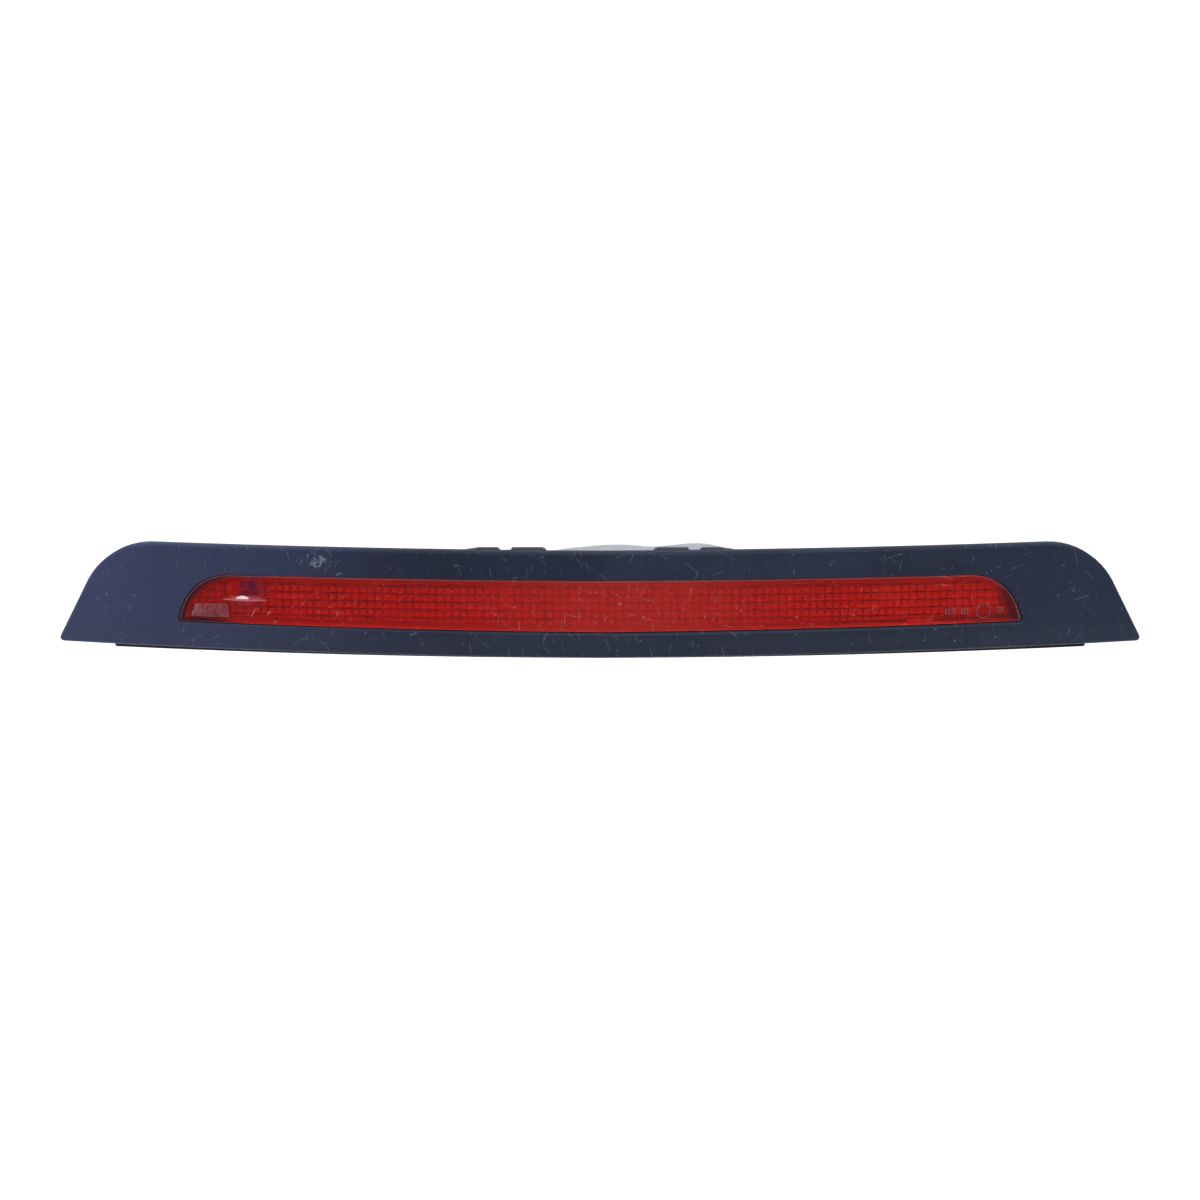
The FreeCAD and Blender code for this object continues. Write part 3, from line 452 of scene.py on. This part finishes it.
def make_lens_look():
    """The lens's smooth skin: clear deep red, with haze, scratches, specks, stains, painted
    highlights and shade.
    """
    look = Look("lens_red", LENS_COLOUR, 0.03, IOR=LENS_IOR, Specular_IOR_Level=0.46)
    haze = lens_haze(look, look.split(look.place)["X"])
    specks = look.ranged(look.noise(520, 1.0), (0.74, 0.77))
    scratches = look.strokes((200, 2600), (15, 85, -60), 0.81)
    marks = look.times(look.largest(scratches, specks), 0.55)
    burnt_and_shadow, worn, dark = [look.attribute(name) for name in STAIN_AND_LIGHT_LAYERS]
    mottled = look.ranged(look.noise(330, 5.0, 0.65), (0.38, 0.55), (0.5, 1.0))
    burnt_and_shadow = look.times(burnt_and_shadow, mottled)
    base = LENS_COLOUR
    # The burnt layer carries painted shadow, the worn one painted highlights, and the dark one
    # painted shade.
    for amount, colour in ((haze, LENS_HAZE), (marks, LENS_SCRATCH), (burnt_and_shadow, LENS_BURNT_AND_SHADOW),
                           (dark, LENS_DARK), (worn, LENS_WORN_AND_HIGHLIGHT)):
        base = look.blend(amount, base, colour)
    look.feed("Base Color", base)
    cover = look.largest(haze, marks, look.times(burnt_and_shadow, 0.65), look.times(dark, 0.35), worn)
    look.feed("Transmission Weight", look.ranged(cover, (0.0, 1.0), (1.0, 0.0)))
    look.feed("Roughness", look.ranged(haze, (0.0, 0.5), (0.02, 0.11)))
    look.bump(look.noise(160, 4.0), 0.01 * MM, 0.3)
    return look


OPTICS_COLOUR = (0.80, 0.030, 0.018)
# Painted light on the pillows and painted shade in the valleys, first at the left and then to the
# right.
PILLOW_LIGHT_COLOURS = ((0.96, 0.14, 0.11), (1.0, 0.24, 0.12))
VALLEY_SHADE_COLOURS = ((0.36, 0.008, 0.008), (0.26, 0.003, 0.002))
WARM_SPAN = mm(60, 130)
VALLEY_NARROWING = 0.22 * MM
VALLEY_WOBBLE = mm(-0.12, 0.12)
LEVEL_VALLEY = mm(0.20, 0.80)
UPRIGHT_VALLEY = mm(0.15, 0.80)


def make_optics_look():
    """The lens's inner side: bright pillows between dark valleys, and a dark line at the rim, all
    painted light and shade.

    To the right the pillows turn more orange, and the valleys narrower and darker.
    """
    look = Look("lens_optics", OPTICS_COLOUR, 0.25, IOR=LENS_IOR, Transmission_Weight=0.1)
    place = look.split(look.place)
    optics, gutter_shade = [look.attribute(name) for name in INSIDE_LAYERS]
    warm = look.ranged(place["X"], WARM_SPAN)
    wobble = look.ranged(look.noise(900, 2.0), (0.3, 0.7), VALLEY_WOBBLE)
    wobble = look.maths("ADD", wobble, look.times(warm, VALLEY_NARROWING))
    across = look.maths("PINGPONG", place["X"], OPTIC_PITCH / 2)
    upward = look.maths("SUBTRACT", place["Z"], OPTIC_LINE)
    upward = look.maths("PINGPONG", upward, OPTIC_PITCH / 2)
    level = look.ranged(look.maths("ADD", upward, wobble), LEVEL_VALLEY, (1.0, 0.0))
    upright = look.ranged(look.maths("ADD", across, wobble), UPRIGHT_VALLEY, (0.85, 0.0))
    uneven = look.noise(1.0, 3.0, 0.6, look.stretched((130, 60, 260)))
    uneven = look.ranged(uneven, (0.35, 0.60), (0.55, 1.0))
    lines = look.times(look.largest(level, look.times(upright, uneven)), uneven)
    rim = look.times(look.ranged(optics, (0.0, 0.4)), look.ranged(optics, (1.0, 0.6)))
    # Painted shade: in the valleys between the pillows, along the line at the rim and along the
    # groove.
    painted_shade = look.largest(look.times(lines, optics), look.times(rim, 0.9), gutter_shade)
    pillow_light = look.blend(warm, *PILLOW_LIGHT_COLOURS)
    valley_shade = look.blend(warm, *VALLEY_SHADE_COLOURS)
    look.feed("Base Color", look.blend(painted_shade, pillow_light, valley_shade))
    return look


FROSTED_COLOUR = (0.50, 0.09, 0.10)
STIPPLE_COLOURS = ((0.36, 0.035, 0.045), (0.60, 0.17, 0.19))


def make_frosted_look():
    """Stippled raised marks on the lens: paler and rougher than its skin."""
    look = Look("lens_frosted", FROSTED_COLOUR, 0.45, IOR=LENS_IOR, Transmission_Weight=0.65)
    stipple = look.noise(1100, 3.0, place=look.stretched((1.4, 1, 0.5)))
    look.feed("Base Color", look.blend(look.ranged(stipple, (0.40, 0.62)), *STIPPLE_COLOURS))
    look.bump(stipple, 0.06 * MM, 0.6)
    return look


def make_glass_look():
    """Clear bulb glass, faintly uneven."""
    look = Look("bulb_glass", (0.97, 0.98, 0.97), 0.02, IOR=1.48, Transmission_Weight=1.0)
    look.feed("Roughness", look.ranged(look.noise(300, 3.0), (0.4, 0.7), (0.0, 0.06)))
    look.bump(look.noise(120, 2.0), 0.03 * MM, 0.3)
    return look


def make_looks():
    """Every look by its name, which for a CAD node is its material slot."""
    looks = (
        make_trim_look(),
        make_lens_look(),
        make_optics_look(),
        make_frosted_look(),
        moulded("seal_rubber", (0.016, 0.016, 0.018), 0.75, grain=0.04 * MM, grain_scale=1500,
                worn=0.1),
        moulded("housing_plastic", (0.017, 0.017, 0.019), 0.42),
        metal("reflector_metallised", (0.90, 0.90, 0.92), 0.16),
        moulded("carrier_plastic", (0.68, 0.71, 0.77), 0.42, amount=0.05),
        metal("contact_brass", (0.74, 0.58, 0.31), 0.32, brushed=(0.05, 1, 1)),
        metal("insert_brass", (0.72, 0.56, 0.29), 0.34),
        make_glass_look(),
        metal("filament_wire", (0.46, 0.45, 0.43), 0.35),
        moulded("spring_steel", (0.014, 0.018, 0.026), 0.50, amount=0.3, Specular_IOR_Level=0.3),
        moulded("foam", (0.022, 0.022, 0.024), 0.95, grain=0.4 * MM, grain_scale=900, worn=0.0),
        metal("screw_steel", (0.66, 0.63, 0.52), 0.28),
    )
    return {look.name: look for look in looks}


def dress_cad_nodes(looks):
    for row in frame["record"]["subparts"]:
        node = frame["nodes"][row["node"]]
        node.data.materials.clear()
        node.data.materials.append(looks[row["material_slot"]].material)


# --- Lens outline --------------------------------------------------------------------

def window_half():
    """Right half of the window's outline, from the top middle round to the bottom middle."""
    top, shoulder, corner, bottom = (Vector(place) * MM for place in WINDOW_CORNERS)
    points = [top]
    points += arc_corner(top, shoulder, corner, SHOULDER_ROUND, SHOULDER_STEPS)
    points += arc_corner(shoulder, corner, bottom, CORNER_ROUND, CORNER_STEPS)
    points.append(bottom)
    return points


def arc_corner(before, corner, after, radius, steps):
    """Points along the rounding of one corner between two straight lines."""
    back = (before - corner).normalized()
    on = (after - corner).normalized()
    half = back.angle(on) / 2
    reach = radius / math.tan(half)
    centre = corner + (back + on).normalized() * (radius / math.sin(half))
    start = corner + back * reach - centre
    turn = start.angle_signed(corner + on * reach - centre)
    points = []
    for step in range(steps + 1):
        angle = -turn * step / steps
        cosine, sine = math.cos(angle), math.sin(angle)
        points.append(centre + Vector((start.x * cosine - start.y * sine,
                                       start.x * sine + start.y * cosine)))
    return points


def inset_chain(points, inset):
    """Move an open chain inwards: its two ends along Z, the rest square to their neighbours."""
    moved = []
    last = len(points) - 1
    for index, point in enumerate(points):
        along = (points[min(index + 1, last)] - points[max(index - 1, 0)]).normalized()
        inward = Vector((along.y, -along.x))
        if index == 0:
            inward = Vector((0, -1))
        if index == last:
            inward = Vector((0, 1))
        moved.append(point + inward * inset)
    return moved


class Outline:
    """A closed outline, symmetric in x, with its height limits and distances."""

    def __init__(self, half, inset):
        right = np.array([tuple(point) for point in inset_chain(half, inset)])
        widest = int(np.argmax(right[:, 0]))
        self.end = right[widest, 0]
        self.upper = right[:widest + 1]
        self.lower = right[widest:][::-1]
        self.closed = np.vstack([right, right[::-1] * np.array([-1, 1])])

    def limits(self, x):
        """The lowest and the highest z inside the outline at each x."""
        x = np.abs(x)
        low = np.interp(x, self.lower[:, 0], self.lower[:, 1])
        high = np.interp(x, self.upper[:, 0], self.upper[:, 1])
        return low, high

    def inside_distance(self, x, z):
        """Distance from points inside to the nearest stretch of the outline."""
        nearest = np.full(x.shape, np.inf)
        for start, end in zip(self.closed, np.roll(self.closed, -1, axis=0)):
            along = end - start
            length_squared = along @ along
            if length_squared < SAME_PLACE ** 2:
                continue
            t = ((x - start[0]) * along[0] + (z - start[1]) * along[1]) / length_squared
            t = np.clip(t, 0, 1)
            gap = np.hypot(x - start[0] - t * along[0], z - start[1] - t * along[1])
            nearest = np.minimum(nearest, gap)
        return nearest


# --- Burn mark, stains, painted light and shade, and optics --------------------------

# Places on the lens, each the x and z of its middle and then half its length and height.
BURN = mm(-140.5, 4.0, 8.7, 7.0)
FROSTED = mm(-154.6, -4.2, 8.0, 3.0)
MARKS = mm(151, -4.6, 14, 2.0)
PATCH_CLEAR = 0.8
PATCH_FADE = 0.3

# The burn mark's shape. Its lip is a line that rises by LIP_CURVE towards both ends, and
# heights are measured above that line.
LIP_LOW = 0.15 * MM
LIP_CURVE = 0.3 * MM
LIP_CREST = -0.3 * MM
LIP_WIDTH = 0.35 * MM
LIP_RISE = 0.2 * MM
BURN_DEPTH = 0.95 * MM
BURN_WALL = 1.7 * MM
BURN_TOP = 9 * MM
BURN_END_POWER = 1.5

# The burn mark's stains and painted light: a scorched patch, a painted shadow under the lip,
# and pale marks on the lip (a line, an almond above it, and a glint, which is a painted
# highlight, with a dark arc over it). The scorch's middle and reach are along the mark, from -1
# to 1, and above the lip. The other pairs are where a fade starts and where it is complete.
SCORCH_MIDDLE = (0.22, 5.0 * MM)
SCORCH_REACH = (0.95, 6.5 * MM)
SCORCH_FADE = (0.35, 1.0)
SCORCH_FOOT = mm(0.6, 2.2)
SHADOW_AMOUNT = 0.6
SHADOW_ENDS = (0.5, 0.9)
SHADOW_FOOT = mm(-3.6, -2.0)
SHADOW_TOP = mm(-0.7, -0.2)
LIP_PALE = 0.40
LIP_ENDS = (0.95, 1.05)
LIP_HALF = mm(0.15, 0.5)
ALMOND_PALE = 0.16
ALMOND_FOOT = mm(-0.3, 0.1)
ALMOND_TOP = mm(1.6, 2.4)
ALMOND_EDGE = 0.1 * MM
GLINT_PALE = 0.95
GLINT_MIDDLE = -0.11
GLINT_REACH = 0.32
GLINT_ENDS = (0.0, 0.25)
GLINT_FOOT = mm(0.35, 0.6)
GLINT_TOP = mm(0.6, 0.8)
GLINT_RISE = 1.0 * MM
ARC_ENDS = (0.1, 0.4)
ARC_HEIGHT = 1.15 * MM
ARC_RISE = 0.9 * MM
ARC_HALF = mm(0.15, 0.35)

# A painted highlight along the lens's edge, and painted shade at its two ends.
EDGE_HIGHLIGHT = 0.45
EDGE_HIGHLIGHT_SPAN = mm(0.30, 0.62)
LEFT_SPAN = mm(118, 140)
LEFT_BAND = 0.5 * MM
LEFT_BAND_GROWTH = 2.3 * MM
LEFT_GROWTH_SPAN = mm(138, 160)
RIGHT_SHADE = 0.85
RIGHT_SLANT = 0.35
RIGHT_SPAN = mm(157.5, 161.5)
RIGHT_TOP = mm(3, 7)
LOW_RIGHT_SHADE = 0.35
LOW_RIGHT_SPAN = mm(140, 158)
LOW_RIGHT_TOP = mm(-4.5, -1.5)

# Painted shade of the groove under the lowest row of optics, by its distance from the lens's edge.
GUTTER_START = mm(1.1, 1.5)
GUTTER_END = mm(2.2, 2.6)
GUTTER_TOP = -4 * MM
GUTTER_LEAST = 0.6
GUTTER_SPAN = mm(20, 110)
LUG_PLACE = 126 * MM
LUG_HALF = mm(4.5, 5.5)


def rise(value, low, high):
    """0 below low, 1 above high, and a smooth step between them."""
    t = np.clip((value - low) / (high - low), 0, 1)
    return t * t * (3 - 2 * t)


def fall(value, low, high):
    """1 below low, 0 above high, and a smooth step between them."""
    return 1 - rise(value, low, high)


def hump(along):
    """1 at the middle, down to 0 at -1 and 1."""
    return np.clip(1 - np.square(along), 0, 1)


def burn_place(x, z):
    """Place within the burn mark: -1 to 1 along it, and height above its lip's line."""
    along = (x - BURN[0]) / BURN[2]
    return along, z - (LIP_LOW + LIP_CURVE * np.square(along))


def burn_dent(x, z):
    """The burn mark: a steep lower wall, a long shallow slope above it, a raised lip."""
    along, above = burn_place(x, z)
    wall = rise(above, 0, BURN_WALL)
    slope = np.clip((BURN_TOP - above) / (BURN_TOP - BURN_WALL), 0, 1)
    lip = np.exp(-np.square((above - LIP_CREST) / LIP_WIDTH))
    return hump(along) ** BURN_END_POWER * (BURN_DEPTH * wall * slope - LIP_RISE * lip)


def burn_stains_and_light(x, z):
    """How scorched the burn mark is, with a painted shadow under its lip; how worn pale, with a
    painted highlight for its glint; and the dark arc over that glint.
    """
    along, above = burn_place(x, z)
    off_scorch = np.hypot((along - SCORCH_MIDDLE[0]) / SCORCH_REACH[0],
                          (above - SCORCH_MIDDLE[1]) / SCORCH_REACH[1])
    scorch = fall(off_scorch, *SCORCH_FADE) * rise(above, *SCORCH_FOOT)
    shadow = rise(above, *SHADOW_FOOT) - rise(above, *SHADOW_TOP)
    shadow = shadow * fall(np.abs(along), *SHADOW_ENDS)
    lip = fall(np.abs(along), *LIP_ENDS) * fall(np.abs(above), *LIP_HALF)
    swell = hump(along)
    almond_top = fall(above, ALMOND_TOP[0] * swell, ALMOND_TOP[1] * swell + ALMOND_EDGE)
    almond = rise(above, *ALMOND_FOOT) * almond_top
    crown = hump((along - GLINT_MIDDLE) / GLINT_REACH)
    # The glint is a painted highlight.
    glint = rise(above, *GLINT_FOOT) - rise(above - GLINT_RISE * crown, *GLINT_TOP)
    glint = glint * rise(crown, *GLINT_ENDS)
    off_arc = np.abs(above - (ARC_HEIGHT + ARC_RISE * crown))
    arc = rise(crown, *ARC_ENDS) * fall(off_arc, *ARC_HALF)
    # The scorch, joined by the painted shadow under the lip.
    burnt_and_shadow = np.maximum(scorch, shadow * SHADOW_AMOUNT)
    pale = np.maximum.reduce([lip * LIP_PALE, almond * ALMOND_PALE, glint * GLINT_PALE])
    return burnt_and_shadow, pale, arc


def end_shade(x, z, distance):
    """Dark bands round the lens's left end and up its right end."""
    band = LEFT_BAND + LEFT_BAND_GROWTH * rise(-x, *LEFT_GROWTH_SPAN)
    left = rise(-x, *LEFT_SPAN) * fall(distance, band / 2, band)
    right = RIGHT_SHADE * rise(x + RIGHT_SLANT * z, *RIGHT_SPAN) * fall(z, *RIGHT_TOP)
    low_right = LOW_RIGHT_SHADE * rise(x, *LOW_RIGHT_SPAN) * fall(z, *LOW_RIGHT_TOP)
    return np.maximum.reduce([left, right, low_right])


def lens_stains_and_light(x, z, distance):
    """How scorched, how worn pale and how dark each point of the lens's front is, with painted
    shadow, highlights and shade among them.
    """
    burnt_and_shadow, pale, arc = burn_stains_and_light(x, z)
    # A pale line along the lens's edge: a painted highlight.
    edge = EDGE_HIGHLIGHT * fall(distance, *EDGE_HIGHLIGHT_SPAN)
    # Worn: pale wear on the burn's lip, with the painted highlights of its glint and of the lens's
    # edge.
    worn = np.maximum(pale, edge) * (1 - arc)
    dark = np.maximum(end_shade(x, z, distance), arc)
    return burnt_and_shadow, worn, dark


def lens_gutter_shade(x, z, distance):
    """Painted shade of the groove under the lowest row of optics, broken by one lug near the right
    end.
    """
    band = rise(distance, *GUTTER_START) - rise(distance, *GUTTER_END)
    lug = fall(np.abs(x - LUG_PLACE), *LUG_HALF)
    amount = GUTTER_LEAST + (1 - GUTTER_LEAST) * rise(x, *GUTTER_SPAN)
    return band * amount * (1 - lug) * (z < GUTTER_TOP)


def within(patch, x, z):
    """Place within a patch: -1 to 1 along it and -1 to 1 up it."""
    middle_x, middle_z, half_x, half_z = patch
    return (x - middle_x) / half_x, (z - middle_z) / half_z


def optics_mask(x, z, distance):
    """Where the optics are: not at the rim, behind the marks or round the burn mark."""
    across, upward = within(BURN, x, z)
    reaches = [np.hypot(across, upward)]
    for patch in (FROSTED, MARKS):
        across, upward = within(patch, x, z)
        reaches.append(np.maximum(np.abs(across), np.abs(upward)))
    mask = np.clip((distance - OPTIC_RIM) / OPTIC_RIM_FADE, 0, 1)
    for reach in reaches:
        mask = mask * np.clip((reach - PATCH_CLEAR) / PATCH_FADE, 0, 1)
    return mask


def optic_relief(x, z):
    """Height of the pillow optics on the lens's back."""
    across = (x / OPTIC_PITCH) % 1 * 2 - 1
    upward = ((z - OPTIC_LINE) / OPTIC_PITCH) % 1 * 2 - 1
    return OPTIC_RISE * ((1 - across ** 2) + (1 - upward ** 2))


# --- Lens mesh -----------------------------------------------------------------------

STEPS_PER_OPTIC = 6
GRID_STEP = OPTIC_PITCH / STEPS_PER_OPTIC
END_ROOM = 0.7 * MM
END_STEPS = (0.85, 0.6, 0.4, 0.25, 0.13, 0.05, 0.0)
EDGE_STEPS = (0.0, 0.3, 1.0)
BURN_ROWS_BELOW = 1 * MM
BURN_ROWS_ABOVE = 4 * MM
BURN_ROW_STEP = 0.22 * MM
WELD = 0.004 * MM


def grid_columns(end):
    """The grid's x values: even steps, and finer ones at the two ends."""
    inner = np.arange(0, end - END_ROOM, GRID_STEP)
    outer = end - END_ROOM * np.array(END_STEPS)
    right = np.concatenate([inner, outer])
    return np.concatenate([-right[:0:-1], right])


def grid_rows(low, high):
    """The grid's z values, a column each: on the optics, along the edges and at the burn's lip."""
    first = math.floor((LENS_LOW[2] - OPTIC_LINE) / GRID_STEP)
    last = math.ceil((LENS_HIGH[2] - OPTIC_LINE) / GRID_STEP)
    lines = OPTIC_LINE + GRID_STEP * np.arange(first, last + 1)
    burn_lines = np.arange(LIP_LOW - BURN_ROWS_BELOW, LIP_LOW + BURN_ROWS_ABOVE, BURN_ROW_STEP)
    lines = np.union1d(lines, burn_lines)
    edges = np.array(EDGE_STEPS) * EDGE_ROUND
    room = (high - low) / 2
    near = np.minimum(edges[:, None], room[None, :])
    middle = np.clip(lines[:, None], (low + near[-1])[None, :], (high - near[-1])[None, :])
    return np.vstack([low + near, middle, (high - near)[::-1]])


def lens_front_depth(x, z, distance):
    """The lens's front face, rounded off at its edge and dented by the burn mark."""
    short = EDGE_ROUND - np.minimum(distance, EDGE_ROUND)
    rounding = EDGE_ROUND - np.sqrt(EDGE_ROUND ** 2 - short ** 2)
    return LENS_FRONT + rounding + burn_dent(x, z)


def make_lens(skin, inside):
    """One closed moulding: smooth bowed front, rounded edge, flange and optics behind."""
    outline = Outline(window_half(), LENS_GAP)
    columns = grid_columns(outline.end)
    z = grid_rows(*outline.limits(columns))
    x = np.tile(columns, (z.shape[0], 1))
    distance = outline.inside_distance(x, z)
    optics = optics_mask(x, z, distance)
    mesh = bmesh.new()
    inside_layers = [mesh.verts.layers.float.new(name) for name in INSIDE_LAYERS]
    stain_and_light_layers = [mesh.verts.layers.float.new(name) for name in STAIN_AND_LIGHT_LAYERS]
    front = add_grid(mesh, x, z, lens_front_depth(x, z, distance), is_back=False)
    back = add_grid(mesh, x, z, LENS_BACK + optics * optic_relief(x, z), is_back=True)
    paint(back, inside_layers, (optics, lens_gutter_shade(x, z, distance)))
    paint(front, stain_and_light_layers, lens_stains_and_light(x, z, distance))
    close_lens(mesh, border(front), border(back))
    lens = add_object("lens_moulding", mesh, skin, sharp_over=40)
    lens.data.materials.append(inside.material)
    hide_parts("lens")
    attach(lens, "lamp_body")


def add_grid(mesh, x, z, depth, is_back):
    """A bowed face over the grid: the lens's front, or its back with the second material."""
    y = bow_y(x, depth)
    rows, columns = x.shape
    verts = [[mesh.verts.new((x[i, j], y[i, j], z[i, j])) for j in range(columns)]
             for i in range(rows)]
    for i in range(rows - 1):
        for j in range(columns - 1):
            corners = [verts[i][j], verts[i][j + 1], verts[i + 1][j + 1], verts[i + 1][j]]
            face = mesh.faces.new(corners[::-1] if is_back else corners)
            face.material_index = int(is_back)
    return verts


def paint(verts, layers, grids):
    """Write a grid of values to each layer of the vertices."""
    for layer, values in zip(layers, grids):
        for line, amounts in zip(verts, values):
            for vert, amount in zip(line, amounts):
                vert[layer] = float(amount)


def border(verts):
    """The grid's border in order: along the bottom, then back along the top."""
    return verts[0] + verts[-1][::-1]


def close_lens(mesh, front_border, back_border):
    """Join the front to the back, out round the flange and in again, and weld the seams."""
    outline = [Vector((vert.co.x, vert.co.z)) for vert in front_border]
    flange = FLANGE_LAP + LENS_GAP
    rings = [front_border]
    for reach, depth in ((0, FLANGE_FRONT), (flange, FLANGE_FRONT),
                         (flange, FLANGE_BACK), (0, FLANGE_BACK)):
        rings.append(add_ring(mesh, outline, reach, depth))
    rings.append(back_border)
    for first, second in zip(rings, rings[1:]):
        join_rings(mesh, first, second)
    bmesh.ops.remove_doubles(mesh, verts=mesh.verts, dist=WELD)
    bmesh.ops.dissolve_degenerate(mesh, edges=mesh.edges, dist=WELD)
    bmesh.ops.recalc_face_normals(mesh, faces=mesh.faces)


def add_ring(mesh, outline, reach, depth):
    """A copy of the outline, moved outwards in the XZ plane and set at a depth."""
    ring = []
    for index, point in enumerate(outline):
        before = next_place(outline, index, -1)
        after = next_place(outline, index, 1)
        along = (after - before).normalized()
        moved = point + Vector((along.y, -along.x)) * reach
        ring.append(mesh.verts.new(on_bow(*moved, depth)))
    return ring


def next_place(outline, index, way):
    """The nearest point, one way along a closed outline, that is at another place."""
    for step in range(1, len(outline)):
        other = outline[(index + way * step) % len(outline)]
        if (other - outline[index]).length > SAME_PLACE:
            return other
    raise ValueError("the outline is a single point")


def join_rings(mesh, first, second):
    """Faces between two closed rings of as many points."""
    for index in range(len(first)):
        after = (index + 1) % len(first)
        mesh.faces.new((first[index], first[after], second[after], second[index]))


def add_object(name, mesh, look, sharp_over=35):
    """Make an object of the mesh, smooth but for edges sharper than an angle in degrees."""
    data = bpy.data.meshes.new(name)
    mesh.to_mesh(data)
    mesh.free()
    for face in data.polygons:
        face.use_smooth = True
    data.set_sharp_from_angle(angle=math.radians(sharp_over))
    data.materials.append(look.material)
    piece = bpy.data.objects.new(name, data)
    bpy.context.scene.collection.objects.link(piece)
    return piece


# --- Moulded marks on the lens's front -----------------------------------------------

MARK_BACK = LENS_FRONT + 0.05 * MM
MARK_FRONT = LENS_FRONT - 0.12 * MM
PLATE_CORNER_STEPS = 5
RING_CENTRE = mm(152, -4.5)
RING_RADIUS = 2.8 * MM
RING_HALF_WIDTH = 0.3 * MM
RING_TOP = 0.6
RING_STEPS = 48
# Each rib's place along the lens and its width, in mm, in three groups.
RIBS = ((136.8, 0.6), (138.0, 0.9), (139.3, 0.6), (140.4, 0.6),
        (143.4, 0.6), (144.5, 0.9), (145.6, 0.6),
        (157.7, 0.6), (158.8, 0.9), (159.9, 0.6))
RIB_HEIGHTS = mm(-5.65, -2.95)
RIB_ROUND = 0.18 * MM
RIB_BEVEL = 0.1 * MM
# The frosted patch's corners, each with its rounding.
PATCH_CORNERS = (mm(-160.3, -1.4, 0.6), mm(-147.6, -1.4, 1.2),
                 mm(-146.6, -6.9, 0.6), mm(-162.8, -6.8, 0.6))
PATCH_BEVEL = 0.12 * MM


def add_plate(mesh, corners, bevel):
    """A thin plate on the lens's front face, with rounded corners and a sloped edge."""
    points = []
    for index, (x, z, radius) in enumerate(corners):
        before = Vector(corners[index - 1][:2])
        after = Vector(corners[(index + 1) % len(corners)][:2])
        points += arc_corner(before, Vector((x, z)), after, radius, PLATE_CORNER_STEPS)
    middle = sum(points, Vector((0, 0))) / len(points)
    rings = []
    for reach, depth in ((0, MARK_BACK), (0, (MARK_BACK + MARK_FRONT) / 2), (bevel, MARK_FRONT)):
        moved = [point + (middle - point).normalized() * reach for point in points]
        rings.append([mesh.verts.new(on_bow(*place, depth)) for place in moved])
    for first, second in zip(rings, rings[1:]):
        join_rings(mesh, first, second)
    add_fan(mesh, rings[0], on_bow(*middle, MARK_BACK))
    add_fan(mesh, rings[-1], on_bow(*middle, MARK_FRONT))


def add_fan(mesh, ring, middle):
    """Close a ring with triangles to its middle."""
    tip = mesh.verts.new(middle)
    for index in range(len(ring)):
        mesh.faces.new((ring[index], ring[(index + 1) % len(ring)], tip))


def finish_mark(name, mesh, look):
    bmesh.ops.recalc_face_normals(mesh, faces=mesh.faces)
    piece = add_object(name, mesh, look)
    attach(piece, "lamp_body")


def make_mark_ring(look):
    """A plain round bead with a flat top."""
    mesh = bmesh.new()
    profile = ((-1, MARK_BACK), (-RING_TOP, MARK_FRONT), (RING_TOP, MARK_FRONT), (1, MARK_BACK))
    sections = []
    for step in range(RING_STEPS):
        turn = math.tau * step / RING_STEPS
        section = []
        for side, depth in profile:
            radius = RING_RADIUS + side * RING_HALF_WIDTH
            x = RING_CENTRE[0] + radius * math.cos(turn)
            z = RING_CENTRE[1] + radius * math.sin(turn)
            section.append(mesh.verts.new(on_bow(x, z, depth)))
        sections.append(section)
    for first, second in zip(sections, sections[1:] + sections[:1]):
        join_rings(mesh, first, second)
    finish_mark("lens_mark_ring", mesh, look)


def make_mark_ribs(look):
    """Short upright ribs on both sides of the ring."""
    mesh = bmesh.new()
    low, high = RIB_HEIGHTS
    for place, width in RIBS:
        left, right = mm(place - width / 2, place + width / 2)
        corners = [(x, z, RIB_ROUND)
                   for x, z in ((left, high), (right, high), (right, low), (left, low))]
        add_plate(mesh, corners, RIB_BEVEL)
    finish_mark("lens_mark_ribs", mesh, look)


def make_frosted_patch(look):
    mesh = bmesh.new()
    add_plate(mesh, PATCH_CORNERS, PATCH_BEVEL)
    finish_mark("lens_frosted_patch", mesh, look)


# --- Build ---------------------------------------------------------------------------

make_camera()
make_world()
make_lights()
make_floor()
looks = make_looks()
dress_cad_nodes(looks)
make_lens(looks["lens_red"], looks["lens_optics"])
make_mark_ring(looks["lens_frosted"])
make_mark_ribs(looks["lens_frosted"])
make_frosted_patch(looks["lens_frosted"])
